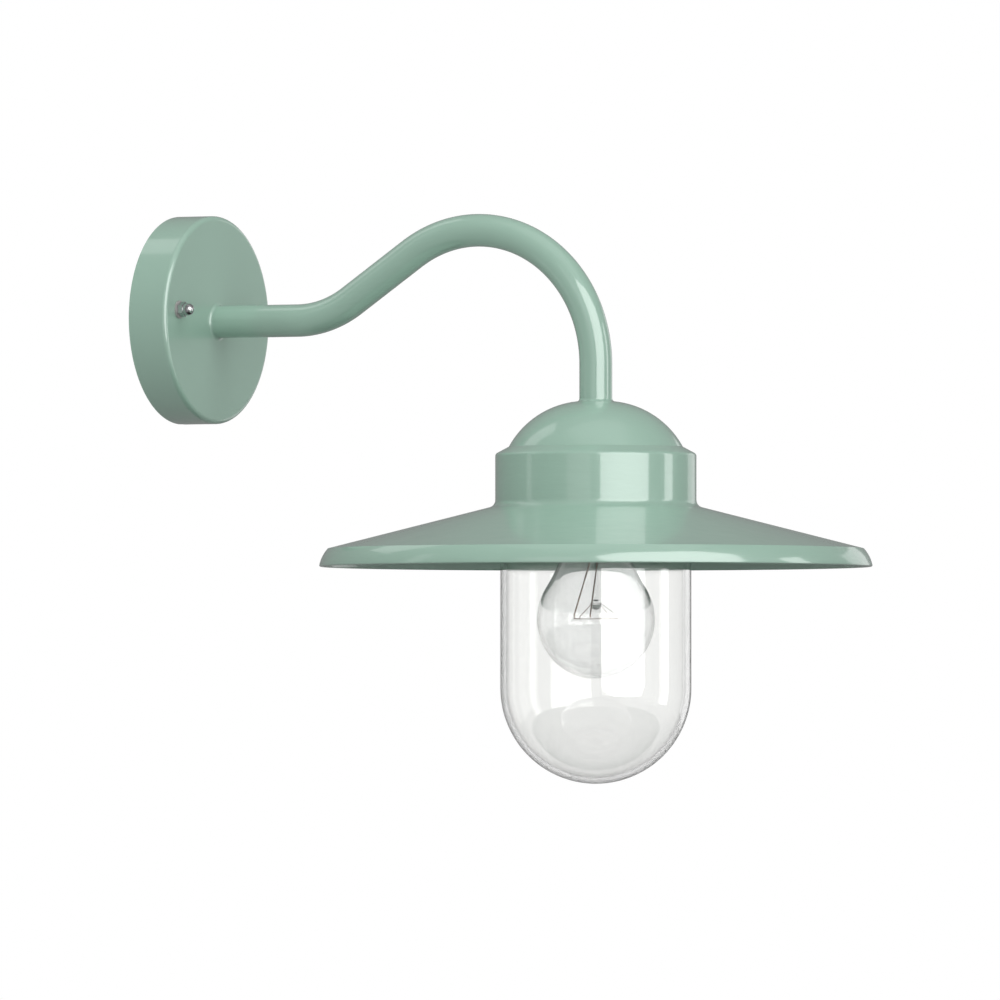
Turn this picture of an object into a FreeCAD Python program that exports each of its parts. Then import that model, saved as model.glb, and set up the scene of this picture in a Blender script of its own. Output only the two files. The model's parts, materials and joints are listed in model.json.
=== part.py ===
import FreeCAD
import Part
import math
import os
import Sketcher
from types import SimpleNamespace

# Wall light: a bent tube arm carries a spun shade, and a screwed glass jar covers the bulb.
# The origin is the centre of the wall plate's back face, X points out from the wall, Z up.

# Driving dimensions: millimetres, degrees where the name ends in angle, ratios in share.
dimensions = (
    # clearances and overruns
    ("running_gap", "0.3", "between pieces that move past each other"),
    ("fit_gap", "0.1", "round pieces that are pushed into a hole"),
    ("braze_gap", "0.05", "round the threaded plugs in the tube"),
    ("thread_overrun", "1.5", "thread left past a nut"),
    ("pick_tolerance", "0.01", "how near an edge lies to the place it is picked by"),
    # wall plate
    ("plate_diameter", "110.5", "outside of the cup on the wall"),
    ("plate_depth", "22.5", "wall to the front of the cup"),
    ("plate_wall", "1.5", "pressed steel"),
    ("plate_edge_round", "2.5", "outer front edge"),
    ("weep_diameter", "5", "drain notch at the foot of the rim"),
    ("wall_seal_width", "3", "foam ring, across"),
    ("wall_seal_depth", "4", "foam ring, from the wall"),
    # bracket on the wall
    ("bracket_end_room", "9.25", "plate's outside to the end of the strap"),
    ("bracket_height", "20", "strap"),
    ("bracket_thickness", "2", "pressed steel"),
    ("bracket_corner", "3", "corner rounding"),
    ("tab_width", "34", "tab that holds the terminal block"),
    ("tab_end_room", "12.25", "plate's outside to the end of the tab"),
    ("slot_spacing", "60", "wall screw slots"),
    ("slot_width", "5", "wall screw slots"),
    ("slot_length", "12", "wall screw slots, overall"),
    ("cable_hole", "14", "hole for the mains cable"),
    ("grommet_bore", "8", "cable grommet"),
    ("grommet_flange", "2.2", "cable grommet, past the hole"),
    ("grommet_lip", "1.5", "cable grommet, in front of the strap"),
    # studs, seal washers and cap nuts
    ("stud_inset", "14.25", "plate's outside to a stud"),
    ("stud_rise", "4.5", "studs above the plate centre"),
    ("stud_diameter", "4", "metric thread, drawn plain"),
    ("stud_reach", "5.5", "stud past the plate's face"),
    ("small_nut_flats", "7", "across the flats"),
    ("lock_nut_height", "3.2", "nut on the bracket"),
    ("seal_washer_diameter", "9.5", "under a cap nut"),
    ("seal_washer_thickness", "0.8", "under a cap nut"),
    ("cap_nut_height", "8", "overall"),
    ("cap_hex_height", "3.2", "its hexagon"),
    ("cap_dome_diameter", "6.5", "its dome"),
    ("cap_bore_depth", "5.8", "its blind hole"),
    ("nut_face_share", "0.95", "flat ring on a nut's face, of the flats"),
    # arm
    ("tube_diameter", "17.2", "outside"),
    ("tube_wall", "1.5", "steel tube"),
    ("arm_below_centre", "1", "arm axis below the plate centre"),
    ("arm_run", "71.3", "wall to the first bend"),
    ("low_bend_radius", "59.7", "first bend, on the tube's axis"),
    ("rise_angle", "33.4", "slope after the first bend"),
    ("arm_slope", "44.064", "straight run between the bends"),
    ("high_bend_radius", "71.3", "second bend, over the top"),
    ("arm_leg", "19.392", "straight run down to the top of the shade"),
    # threaded plugs in the arm's ends, with their nuts
    ("spigot_diameter", "10", "metric fine thread, drawn plain"),
    ("spigot_bore", "7.5", "for the cores"),
    ("plug_length", "12", "part brazed into the tube"),
    ("thin_nut_flats", "14", "across the flats"),
    ("thin_nut_height", "4", "thin nut"),
    ("wall_washer_diameter", "19", "behind the wall plate's face"),
    ("wall_washer_thickness", "1.5", "behind the wall plate's face"),
    # shade
    ("shade_diameter", "290", "at the rim"),
    ("shade_height", "86.7", "overall"),
    ("shade_wall", "1.5", "spun steel"),
    ("dome_radius", "46", "arc of the dome"),
    ("dome_height", "24", "dome above its foot"),
    ("dome_foot_diameter", "91.2", "where the dome meets the shoulder"),
    ("shoulder_drop", "3.8", "shoulder's slope, foot of the dome to the band"),
    ("shoulder_round", "2", "shoulder's outer edge"),
    ("band_diameter", "105.4", "upright band"),
    ("band_height", "27.2", "upright band"),
    ("band_foot_round", "4", "band to cone"),
    ("lip_height", "9.4", "lip round the rim"),
    ("lip_flare", "4.6", "how far the lip spreads"),
    ("lip_radius", "19", "curve of the lip"),
    ("lip_crease_round", "1", "cone to lip"),
    ("crown_seal_diameter", "20", "rubber disc under the crown"),
    ("crown_seal_thickness", "1.5", "rubber disc under the crown"),
    # cast carrier that holds the jar
    ("carrier_diameter", "100", "skirt, outside"),
    ("carrier_wall", "3", "casting"),
    ("carrier_hub_diameter", "49", "hub, outside"),
    ("carrier_hub_height", "23", "top of the hub to the disc"),
    ("carrier_skirt_height", "24.2", "top of the disc to the skirt's edge"),
    ("carrier_round", "2.5", "outer edges of the casting"),
    ("neck_play", "0.7", "between the jar's neck and the skirt"),
    # strap that holds the lampholder
    ("strap_width", "12", "across"),
    ("strap_thickness", "1.5", "steel"),
    ("strap_inside", "19", "between the legs"),
    ("strap_foot", "8", "length of a foot"),
    ("strap_bend", "0.8", "inner bends"),
    ("wire_room", "10", "end of the spigot to the lampholder"),
    # lampholder
    ("holder_diameter", "40", "porcelain"),
    ("holder_height", "40", "porcelain"),
    ("holder_floor", "11", "its closed top"),
    ("holder_mouth_diameter", "35", "wider bore at the mouth"),
    ("holder_mouth_depth", "2.5", "wider bore at the mouth"),
    ("holder_round", "2", "outer edges"),
    ("shell_wall", "0.9", "brass screw shell"),
    ("shell_flange", "4", "its inward flange"),
    ("thread_play", "0.5", "between the shell and the bulb's cap"),
    ("live_offset", "4.5", "live post from the axis"),
    ("neutral_offset", "8", "neutral post from the axis"),
    ("post_length", "5", "terminal post, along X"),
    ("post_width", "6", "terminal post, along Y"),
    ("post_stand", "1", "terminal post above the porcelain"),
    ("holder_screw_spacing", "30", "screws through the strap's feet"),
    ("holder_screw_diameter", "3", "shank"),
    ("holder_screw_head", "5.6", "pan head"),
    ("holder_screw_head_height", "2.2", "pan head"),
    ("holder_screw_length", "9", "shank"),
    ("leaf_width", "5", "centre contact"),
    ("leaf_thickness", "0.5", "centre contact"),
    ("leaf_dip", "1.3", "how far the centre contact bends down"),
    ("leaf_tail", "4", "centre contact past the lamp's axis"),
    ("leaf_tail_rise", "0.6", "how far its end turns up"),
    # bulb
    ("bulb_diameter", "61.7", "globe"),
    ("bulb_length", "105", "overall"),
    ("bulb_wall", "0.9", "glass"),
    ("bulb_neck_diameter", "28.6", "glass below the cap"),
    ("globe_angle", "32", "where the globe turns into the neck"),
    ("cap_diameter", "26", "screw cap, drawn plain"),
    ("cap_height", "27", "tip to the lower edge of the cap"),
    ("cap_wall", "0.4", "sheet"),
    ("cap_top_height", "4.2", "tip to the top of the cap"),
    ("cap_flare_height", "4", "lower end of the cap, widened to the glass"),
    ("tip_diameter", "9.2", "solder tip"),
    ("tip_height", "1.4", "solder tip"),
    ("stem_diameter", "9", "glass tube inside the neck"),
    ("stem_length", "10", "below the cap's edge"),
    ("stem_flare", "4", "height of the flare"),
    ("arbor_diameter", "2.2", "glass rod below the stem"),
    ("button_diameter", "6", "glass button"),
    ("button_height", "6.6", "glass button"),
    ("button_level", "66", "tip to the middle of the button"),
    ("lead_diameter", "0.8", "wires to the filament"),
    ("lead_top_spread", "3.7", "between the wires at the stem"),
    ("lead_level", "73.5", "tip to the ends of the wires"),
    ("filament_diameter", "0.7", "coiled wire"),
    ("filament_ring", "25.6", "open ring that the filament hangs in"),
    ("filament_bend", "1.2", "over each hook"),
    ("filament_gap_angle", "48", "left open between the wires"),
    ("filament_angle", "82", "from the wall's side to the middle of the gap"),
    ("support_diameter", "0.4", "hooks that hold the filament"),
    # jar and its seal
    ("jar_diameter", "100", "glass jar"),
    ("jar_length", "143.8", "shoulder to the lowest point"),
    ("jar_wall", "3", "glass"),
    ("jar_neck_diameter", "84.5", "screwed neck, drawn plain"),
    ("jar_neck_height", "16.5", "screwed neck"),
    ("jar_shoulder_round", "2.5", "outer edge of the shoulder"),
    ("jar_seal_thickness", "2.5", "rubber ring"),
    ("jar_seal_width", "6", "rubber ring"),
    # terminal block and its screws
    ("pole_pitch", "9", "between the three poles"),
    ("block_margin", "1.5", "past the outer poles"),
    ("block_height", "18", "along the wires"),
    ("block_depth", "12", "off the bracket"),
    ("block_level", "28", "plate centre down to the block's middle"),
    ("block_round", "1", "corners"),
    ("insert_diameter", "5.2", "brass insert"),
    ("insert_bore", "3", "brass insert"),
    ("insert_length", "16", "brass insert"),
    ("clamp_spacing", "8", "two screws on each pole"),
    ("clamp_diameter", "2.6", "clamp screw"),
    ("clamp_well", "4", "well round a clamp screw"),
    ("clamp_head_diameter", "3.6", "head of a clamp screw"),
    ("clamp_head_height", "2", "head of a clamp screw"),
    ("block_screw_diameter", "2.4", "screws into the bracket"),
    ("block_screw_head", "3.1", "their heads"),
    ("driver_slot", "0.7", "slot in a screw's head"),
    ("driver_slot_depth", "0.9", "slot in a screw's head"),
    # cores
    ("core_diameter", "2.2", "insulated core"),
    ("core_spacing", "3.2", "between the two cores in the arm"),
    ("core_bend", "4.5", "bends outside the arm"),
    ("core_bend_tight", "2.6", "bends over the lampholder"),
    ("core_entry", "4", "core inside a terminal"),
    ("core_lead_out", "4.5", "straight core above a terminal"),
    # earth screw and tag
    ("earth_offset", "17", "from the plate centre"),
    ("earth_screw_diameter", "3.2", "shank"),
    ("earth_screw_head", "6.4", "head"),
    ("earth_screw_head_height", "2.4", "head"),
    ("tag_thickness", "0.8", "sheet"),
    ("tag_diameter", "7.4", "ring"),
    ("tag_barrel_diameter", "3.6", "crimped barrel"),
    ("tag_barrel_length", "4.5", "crimped barrel"),
    ("tag_barrel_drop", "3.5", "screw to the barrel"),
)

doc = FreeCAD.newDocument("BarnLight")
sheet = doc.addObject("Spreadsheet::Sheet", "Dimensions")
for row, (alias, text, note) in enumerate(dimensions, start=1):
    sheet.set("A%d" % row, alias)
    sheet.set("B%d" % row, text)
    sheet.setAlias("B%d" % row, alias)
    sheet.set("C%d" % row, note)
doc.recompute()


class Size:
    # A length with the formula that ties it to the sheet.
    def __init__(self, formula, value):
        self.formula = formula
        self.value = float(value)

    def __add__(self, other):
        other = as_size(other)
        return Size("(%s + %s)" % (self.formula, other.formula), self.value + other.value)

    def __sub__(self, other):
        other = as_size(other)
        return Size("(%s - %s)" % (self.formula, other.formula), self.value - other.value)

    def __mul__(self, other):
        other = as_size(other)
        return Size("(%s * %s)" % (self.formula, other.formula), self.value * other.value)

    def __truediv__(self, other):
        other = as_size(other)
        return Size("(%s / %s)" % (self.formula, other.formula), self.value / other.value)

    def __rsub__(self, other):
        return as_size(other) - self

    def __neg__(self):
        return 0 - self

    __radd__ = __add__
    __rmul__ = __mul__


def as_size(number):
    return number if isinstance(number, Size) else Size("(%r)" % number, number)


def root(size):
    return Size("sqrt(%s)" % size.formula, math.sqrt(size.value))


def sine(angle):
    return Size("sin(%s)" % angle.formula, math.sin(math.radians(angle.value)))


def cosine(angle):
    return Size("cos(%s)" % angle.formula, math.cos(math.radians(angle.value)))


dim = SimpleNamespace(**{
    alias: Size("Dimensions." + alias, sheet.get(alias)) for alias, _, _ in dimensions})

# The arm's path: level off the wall, a bend up, a slope, the bend over the top and the drop
rise_sine, rise_cosine = sine(dim.rise_angle), cosine(dim.rise_angle)
arm_axis = -dim.arm_below_centre
slope_foot = (dim.arm_run + dim.low_bend_radius * rise_sine,
              arm_axis + dim.low_bend_radius * (1 - rise_cosine))
slope_head = (slope_foot[0] + dim.arm_slope * rise_cosine, slope_foot[1] + dim.arm_slope * rise_sine)
lamp_axis = slope_head[0] + dim.high_bend_radius * (rise_sine + 1)
leg_top = slope_head[1] - dim.high_bend_radius * rise_cosine
dome_top = leg_top - dim.arm_leg

# Places that several pieces share
rim_level = dome_top - dim.shade_height
dome_flat = dim.dome_foot_diameter / 2 - root(
    dim.dome_radius * dim.dome_radius
    - (dim.dome_radius - dim.dome_height) * (dim.dome_radius - dim.dome_height))
spigot_radius = dim.spigot_diameter / 2
spigot_hole = spigot_radius + dim.fit_gap
stud_side = dim.plate_diameter / 2 - dim.stud_inset

# The stack under the crown, from the top down
seal_top = dome_top - dim.shade_wall
crown_nut_top = seal_top - dim.crown_seal_thickness
carrier_top = crown_nut_top - dim.thin_nut_height
strap_top = carrier_top - dim.carrier_wall
lower_nut_top = strap_top - dim.strap_thickness
head_spigot_end = lower_nut_top - dim.thin_nut_height - dim.thread_overrun
holder_top = head_spigot_end - dim.wire_room
holder_bottom = holder_top - dim.holder_height
socket_floor = holder_top - dim.holder_floor
holder_screw_hole = dim.holder_screw_diameter / 2 + dim.fit_gap
shell_radius = dim.cap_diameter / 2 + dim.thread_play
disc_top = carrier_top - dim.carrier_hub_height
skirt_edge = disc_top - dim.carrier_skirt_height
jar_shoulder = skirt_edge - dim.jar_seal_thickness
leaf_seat = socket_floor - dim.running_gap - dim.leaf_thickness
bulb_top = leaf_seat - dim.leaf_dip - dim.fit_gap
cap_edge = bulb_top - dim.cap_height
bulb_foot = bulb_top - dim.bulb_length

# The stack behind the wall plate's face
plate_inside = dim.plate_depth - dim.plate_wall
wall_nut_front = plate_inside - dim.wall_washer_thickness
wall_spigot_end = wall_nut_front - dim.thin_nut_height - dim.thread_overrun
core_plane = dim.bracket_thickness + dim.block_depth / 2
block_top = dim.block_height / 2 - dim.block_level
cap_nut_seat = dim.plate_depth + dim.seal_washer_thickness


def bind(piece, name, size):
    piece.setExpression(name, as_size(size).formula)


def vector(point):
    return FreeCAD.Vector(as_size(point[0]).value, as_size(point[1]).value, 0)


def near(value, size):
    return abs(value - as_size(size).value) < dim.pick_tolerance.value


def new_body(label):
    body = doc.addObject("PartDesign::Body", label)
    body.Label = label
    return body


def new_sketch(body, name, role, level=0):
    plane = next(feature for feature in body.Origin.OriginFeatures if feature.Role == role)
    sketch = body.newObject("Sketcher::SketchObject", body.Name + "_" + name)
    sketch.AttachmentSupport = [(plane, "")]
    sketch.MapMode = "FlatFace"
    bind(sketch, ".AttachmentOffset.Base.z", level)
    return sketch


def hold(sketch, kind, size, *where):
    index = sketch.addConstraint(Sketcher.Constraint(kind, *where, size.value))
    bind(sketch, "Constraints[%d]" % index, size)


def hold_point(sketch, geometry, end, point):
    for kind, axis, place in (("DistanceX", -2, point[0]), ("DistanceY", -1, point[1])):
        place = as_size(place)
        if place.value == 0:
            sketch.addConstraint(Sketcher.Constraint("PointOnObject", geometry, end, axis))
        else:
            hold(sketch, kind, place, -1, 1, geometry, end)


def arc_between(start, end, radius):
    # A positive radius turns left on the way from start to end, a negative one turns right.
    first, last = vector(start), vector(end)
    half = (last - first) / 2
    left = FreeCAD.Vector(-half.y, half.x, 0).normalize()
    side = 1 if radius.value > 0 else -1
    centre = first + half + left * (side * math.sqrt(radius.value ** 2 - half.Length ** 2))
    turns = [math.atan2(spot.y - centre.y, spot.x - centre.x) for spot in (first, last)][::side]
    if turns[1] < turns[0]:
        turns[1] += 2 * math.pi
    circle = Part.Circle(centre, FreeCAD.Vector(0, 0, 1), abs(radius.value))
    return Part.ArcOfCircle(circle, *turns), (1, 2)[::side]


def draw_outline(sketch, points, arcs=None, closed=True):
    # arcs gives the radius of a side by the number of the point it starts from.
    arcs = arcs or {}
    sides = len(points) if closed else len(points) - 1
    drawn = []
    for side in range(sides):
        start, end = points[side], points[(side + 1) % len(points)]
        if side in arcs:
            shape, ends = arc_between(start, end, arcs[side])
        else:
            shape, ends = Part.LineSegment(vector(start), vector(end)), (1, 2)
        drawn.append((sketch.addGeometry(shape), ends))
    for side, (geometry, ends) in enumerate(drawn):
        hold_point(sketch, geometry, ends[0], points[side])
        if side + 1 < sides or closed:
            following, following_ends = drawn[(side + 1) % sides]
            sketch.addConstraint(Sketcher.Constraint(
                "Coincident", geometry, ends[1], following, following_ends[0]))
        else:
            hold_point(sketch, geometry, ends[1], points[-1])
        if side in arcs:
            radius = arcs[side]
            hold(sketch, "Radius", radius if radius.value > 0 else -radius, geometry)


def draw_circle(sketch, centre, radius):
    geometry = sketch.addGeometry(Part.Circle(vector(centre), FreeCAD.Vector(0, 0, 1), radius.value))
    hold_point(sketch, geometry, 3, centre)
    hold(sketch, "Radius", radius, geometry)


def draw_rectangle(sketch, centre, width, height):
    across, up = as_size(centre[0]), as_size(centre[1])
    low, high = up - height / 2, up + height / 2
    left, right = across - width / 2, across + width / 2
    draw_outline(sketch, [(left, low), (right, low), (right, high), (left, high)])


def draw_slot(sketch, centre, length, width):
    across, up = centre
    half, end = width / 2, length / 2
    draw_outline(
        sketch,
        [(across - end + half, up - half), (across + end - half, up - half), (across + end, up),
         (across + end - half, up + half), (across - end + half, up + half), (across - end, up)],
        {1: half, 2: half, 4: half, 5: half})


def turned(label, points, arcs=None, axis="V_Axis"):
    body = new_body(label)
    sketch = new_sketch(body, "profile", "XZ_Plane")
    draw_outline(sketch, points, arcs)
    turn = body.newObject("PartDesign::Revolution", label + "_turn")
    turn.Profile = sketch
    turn.ReferenceAxis = (sketch, [axis])
    turn.Angle = 360
    return body


def pad(body, sketch, length, midplane=False):
    feature = body.newObject("PartDesign::Pad", sketch.Name + "_pad")
    feature.Profile = sketch
    feature.SideType = "Symmetric" if midplane else "One side"
    bind(feature, "Length", length)


def cut(body, sketch, depth=None, forward=False):
    feature = body.newObject("PartDesign::Pocket", sketch.Name + "_cut")
    feature.Profile = sketch
    feature.Reversed = forward
    if depth is None:
        feature.Type = "ThroughAll"
    else:
        bind(feature, "Length", depth)


def ring_at(radius, level, along="z"):
    def chosen(edge):
        curve = edge.Curve
        return (isinstance(curve, Part.Circle) and near(curve.Radius, radius)
                and near(getattr(curve.Center, along), level))
    return chosen


def line_at(along, *sides):
    # A straight edge along one axis, at the given places on the other two.
    def chosen(edge):
        start, end = edge.Vertexes[0].Point, edge.Vertexes[-1].Point
        others = [axis for axis in "xyz" if axis != along]
        return (isinstance(edge.Curve, Part.Line)
                and all(near(getattr(spot, axis), side)
                        for spot in (start, end) for axis, side in zip(others, sides)))
    return chosen


def round_edges(body, radius, *chosen):
    doc.recompute()
    base = body.Tip
    names = ["Edge%d" % number for number, edge in enumerate(base.Shape.Edges, start=1)
             if not edge.Degenerated and any(test(edge) for test in chosen)]
    feature = body.newObject("PartDesign::Fillet", body.Name + "_round")
    feature.Base = (base, names)
    bind(feature, "Radius", radius)


def hollow(body, wall, level, along):
    # Shells the body inwards and leaves it open at the flat face on that level.
    doc.recompute()
    base = body.Tip
    names = ["Face%d" % number for number, face in enumerate(base.Shape.Faces, start=1)
             if isinstance(face.Surface, Part.Plane)
             and all(near(getattr(spot.Point, along), level) for spot in face.Vertexes)]
    feature = body.newObject("PartDesign::Thickness", body.Name + "_wall")
    feature.Base = (base, names)
    feature.Reversed = True
    feature.Join = "Intersection"
    bind(feature, "Value", wall)


def place(piece, x=0, y=0, z=0, turn=None):
    piece.Placement = FreeCAD.Placement(FreeCAD.Vector(), turn or FreeCAD.Rotation())
    for axis, size in zip("xyz", (x, y, z)):
        bind(piece, ".Placement.Base." + axis, size)
    return piece


along_x = FreeCAD.Rotation(FreeCAD.Vector(0, 1, 0), 90)


def group(label, source, places):
    # Identical pieces, copied from one model to each place.
    links = []
    for x, y, z in places:
        link = doc.addObject("App::Link", source.Name + "_copy")
        link.LinkedObject = source
        links.append(place(link, x, y, z, source.Placement.Rotation))
    compound = doc.addObject("Part::Compound", label)
    compound.Label = label
    compound.Links = links
    return compound


def hexagon_nut(label, flats, height, hole):
    # Stands on the XY plane: a hexagonal prism trimmed by a bored disc with bevelled rims.
    corner = flats / root(as_size(3))
    face = flats / 2 * dim.nut_face_share
    bevel = (corner - face) / 2
    disc = turned(label + "_disc", [
        (hole, 0), (face, 0), (corner, bevel), (corner, height - bevel), (face, height), (hole, height)])
    prism = doc.addObject("Part::Prism", label + "_prism")
    prism.Polygon = 6
    bind(prism, "Circumradius", corner)
    bind(prism, "Height", height)
    nut = doc.addObject("Part::MultiCommon", label)
    nut.Label = label
    nut.Shapes = [prism, disc]
    return nut


def rounded_path(corners, radii):
    # Straight runs joined by tangent arcs, one radius for each corner between the ends.
    edges = []
    start = corners[0]
    for before, corner, after, radius in zip(corners, corners[1:], corners[2:], radii):
        back, ahead = (before - corner).normalize(), (after - corner).normalize()
        half_turn = (math.pi - back.getAngle(ahead)) / 2
        setback = radius.value * math.tan(half_turn)
        first, last = corner + back * setback, corner + ahead * setback
        bulge = radius.value / math.cos(half_turn) - radius.value
        middle = corner + (back + ahead).normalize() * bulge
        edges += [Part.LineSegment(start, first).toShape(), Part.Arc(first, middle, last).toShape()]
        start = last
    edges.append(Part.LineSegment(start, corners[-1]).toShape())
    return Part.Wire(edges)


def wire(corners, radii, diameter):
    # A round wire along the path through these corners.
    points = [FreeCAD.Vector(*(as_size(place).value for place in corner)) for corner in corners]
    path = rounded_path(points, radii)
    rim = Part.Wire(Part.makeCircle(diameter.value / 2, points[0], points[1] - points[0]))
    return path.makePipeShell([rim], True, False)


def shaped(label, *solids):
    feature = doc.addObject("Part::Feature", label)
    feature.Label = label
    feature.Shape = solids[0] if len(solids) == 1 else Part.makeCompound(solids)
    return feature


def wall_plate():
    radius = dim.plate_diameter / 2
    body = turned("wall_plate", [(0, 0), (dim.plate_depth, 0), (dim.plate_depth, radius), (0, radius)],
                  axis="H_Axis")
    round_edges(body, dim.plate_edge_round, ring_at(radius, dim.plate_depth, "x"))
    hollow(body, dim.plate_wall, 0, "x")
    holes = new_sketch(body, "holes", "YZ_Plane")
    draw_circle(holes, (0, arm_axis), spigot_hole)
    for side in (-1, 1):
        draw_circle(holes, (stud_side * side, dim.stud_rise), dim.stud_diameter / 2 + dim.fit_gap)
    cut(body, holes, forward=True)
    weep = new_sketch(body, "weep", "XY_Plane")
    draw_circle(weep, (0, 0), dim.weep_diameter / 2)
    cut(body, weep)
    return body


def wall_seal():
    outside = dim.plate_diameter / 2 - dim.plate_wall - dim.running_gap
    inside = outside - dim.wall_seal_width
    return turned("wall_seal", [(0, inside), (dim.wall_seal_depth, inside),
                                (dim.wall_seal_depth, outside), (0, outside)], axis="H_Axis")


def mounting_bracket():
    end, tab = dim.plate_diameter / 2 - dim.bracket_end_room, dim.tab_width / 2
    tab_reach = dim.plate_diameter / 2 - dim.tab_end_room
    low, high = dim.stud_rise - dim.bracket_height / 2, dim.stud_rise + dim.bracket_height / 2
    corners = [(-end, low), (-tab, low), (-tab, -tab_reach), (tab, -tab_reach),
               (tab, low), (end, low), (end, high), (-end, high)]
    body = new_body("mounting_bracket")
    blank = new_sketch(body, "blank", "YZ_Plane")
    draw_outline(blank, corners)
    pad(body, blank, dim.bracket_thickness)
    round_edges(body, dim.bracket_corner, *(line_at("x", *corner) for corner in corners))
    holes = new_sketch(body, "holes", "YZ_Plane")
    draw_circle(holes, (0, dim.stud_rise), dim.cable_hole / 2)
    draw_circle(holes, (dim.earth_offset, dim.stud_rise), dim.earth_screw_diameter / 2 + dim.fit_gap)
    slots = new_sketch(body, "slots", "YZ_Plane")
    for side in (-1, 1):
        draw_slot(slots, (dim.slot_spacing / 2 * side, dim.stud_rise), dim.slot_length, dim.slot_width)
        draw_circle(holes, (stud_side * side, dim.stud_rise), dim.stud_diameter / 2 + dim.fit_gap)
        draw_circle(holes, (dim.pole_pitch / 2 * side, -dim.block_level),
                    dim.block_screw_diameter / 2 + dim.fit_gap)
    cut(body, holes, forward=True)
    cut(body, slots, forward=True)
    return body


def cable_grommet():
    hole = dim.cable_hole / 2 - dim.fit_gap
    front = dim.bracket_thickness + dim.grommet_lip
    body = turned("cable_grommet", [
        (0, dim.grommet_bore / 2), (front, dim.grommet_bore / 2),
        (front, dim.cable_hole / 2 + dim.grommet_flange),
        (dim.bracket_thickness, dim.cable_hole / 2 + dim.grommet_flange),
        (dim.bracket_thickness, hole), (0, hole)], axis="H_Axis")
    return place(body, z=dim.stud_rise)


def bracket_studs():
    radius = dim.stud_diameter / 2
    end = dim.plate_depth + dim.stud_reach
    bevel = radius / 4
    stud = turned("bracket_stud", [
        (0, 0), (end, 0), (end, radius - bevel), (end - bevel, radius), (0, radius)], axis="H_Axis")
    return group("bracket_studs", stud, [(0, stud_side * side, dim.stud_rise) for side in (-1, 1)])


def stud_lock_nuts():
    nut = hexagon_nut("stud_lock_nut", dim.small_nut_flats, dim.lock_nut_height,
                      dim.stud_diameter / 2 + dim.fit_gap)
    nut.Placement.Rotation = along_x
    return group("stud_lock_nuts", nut,
                 [(dim.bracket_thickness, stud_side * side, dim.stud_rise) for side in (-1, 1)])


def seal_washer(label, side):
    hole = dim.stud_diameter / 2 + dim.fit_gap
    rim = dim.seal_washer_diameter / 2
    body = turned(label, [(dim.plate_depth, hole), (cap_nut_seat, hole), (cap_nut_seat, rim),
                          (dim.plate_depth, rim)], axis="H_Axis")
    return place(body, y=stud_side * side, z=dim.stud_rise)


def cap_nut(label, side):
    # The hexagon, the dome on it, and a blind hole from the seat.
    dome = dim.cap_dome_diameter / 2
    hole = dim.stud_diameter / 2 + dim.running_gap
    base = hexagon_nut(label + "_base", dim.small_nut_flats, dim.cap_hex_height, hole)
    cap = turned(label + "_dome", [
        (hole, 0), (dome, 0), (dome, dim.cap_nut_height - dome), (0, dim.cap_nut_height),
        (0, dim.cap_bore_depth), (hole, dim.cap_bore_depth)], {2: dome})
    nut = doc.addObject("Part::MultiFuse", label)
    nut.Label = label
    nut.Shapes = [base, cap]
    nut.Refine = True
    return place(nut, cap_nut_seat, stud_side * side, dim.stud_rise, along_x)


def arm_tube():
    body = new_body("arm_tube")
    path = new_sketch(body, "path", "XZ_Plane")
    draw_outline(path, [(dim.plate_depth, arm_axis), (dim.arm_run, arm_axis), slope_foot, slope_head,
                        (lamp_axis, leg_top), (lamp_axis, dome_top)],
                 {1: dim.low_bend_radius, 3: -dim.high_bend_radius}, closed=False)
    section = new_sketch(body, "section", "YZ_Plane", dim.plate_depth)
    draw_circle(section, (0, arm_axis), dim.tube_diameter / 2)
    draw_circle(section, (0, arm_axis), dim.tube_diameter / 2 - dim.tube_wall)
    tube = body.newObject("PartDesign::AdditivePipe", "arm_tube_sweep")
    tube.Profile = section
    tube.Spine = (path, ["Edge%d" % number for number in range(1, 6)])
    return body


def spigot(label, face, inner_end, tube_end, axis):
    # A threaded spigot with a thicker plug that is brazed into the tube.
    bore, plug = dim.spigot_bore / 2, dim.tube_diameter / 2 - dim.tube_wall - dim.braze_gap
    points = [(inner_end, bore), (inner_end, spigot_radius), (face, spigot_radius),
              (face, plug), (tube_end, plug), (tube_end, bore)]
    if axis == "V_Axis":
        points = [(radius, level) for level, radius in points]
    return turned(label, points, axis=axis)


def wall_spigot():
    tube_end = dim.plate_depth + dim.plug_length
    return place(spigot("wall_spigot", dim.plate_depth, wall_spigot_end, tube_end, "H_Axis"), z=arm_axis)


def wall_washer():
    rim = dim.wall_washer_diameter / 2
    body = turned("wall_washer", [(wall_nut_front, spigot_hole), (plate_inside, spigot_hole),
                                  (plate_inside, rim), (wall_nut_front, rim)], axis="H_Axis")
    return place(body, z=arm_axis)


def thin_nut(label):
    return hexagon_nut(label, dim.thin_nut_flats, dim.thin_nut_height, spigot_hole)


def wall_nut():
    return place(thin_nut("wall_nut"), wall_nut_front - dim.thin_nut_height, z=arm_axis, turn=along_x)


def on_lamp_axis(piece, level=0, turn=None):
    return place(piece, lamp_axis, z=level, turn=turn)


def head_spigot():
    tube_end = dome_top + dim.plug_length
    return on_lamp_axis(spigot("head_spigot", dome_top, head_spigot_end, tube_end, "V_Axis"))


def dome_inside(radius):
    # Height of the dome's inner face at this distance from the axis.
    arc = dim.dome_radius - dim.shade_wall
    return dome_top - dim.dome_radius + root(arc * arc - (radius - dome_flat) * (radius - dome_flat))


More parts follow.
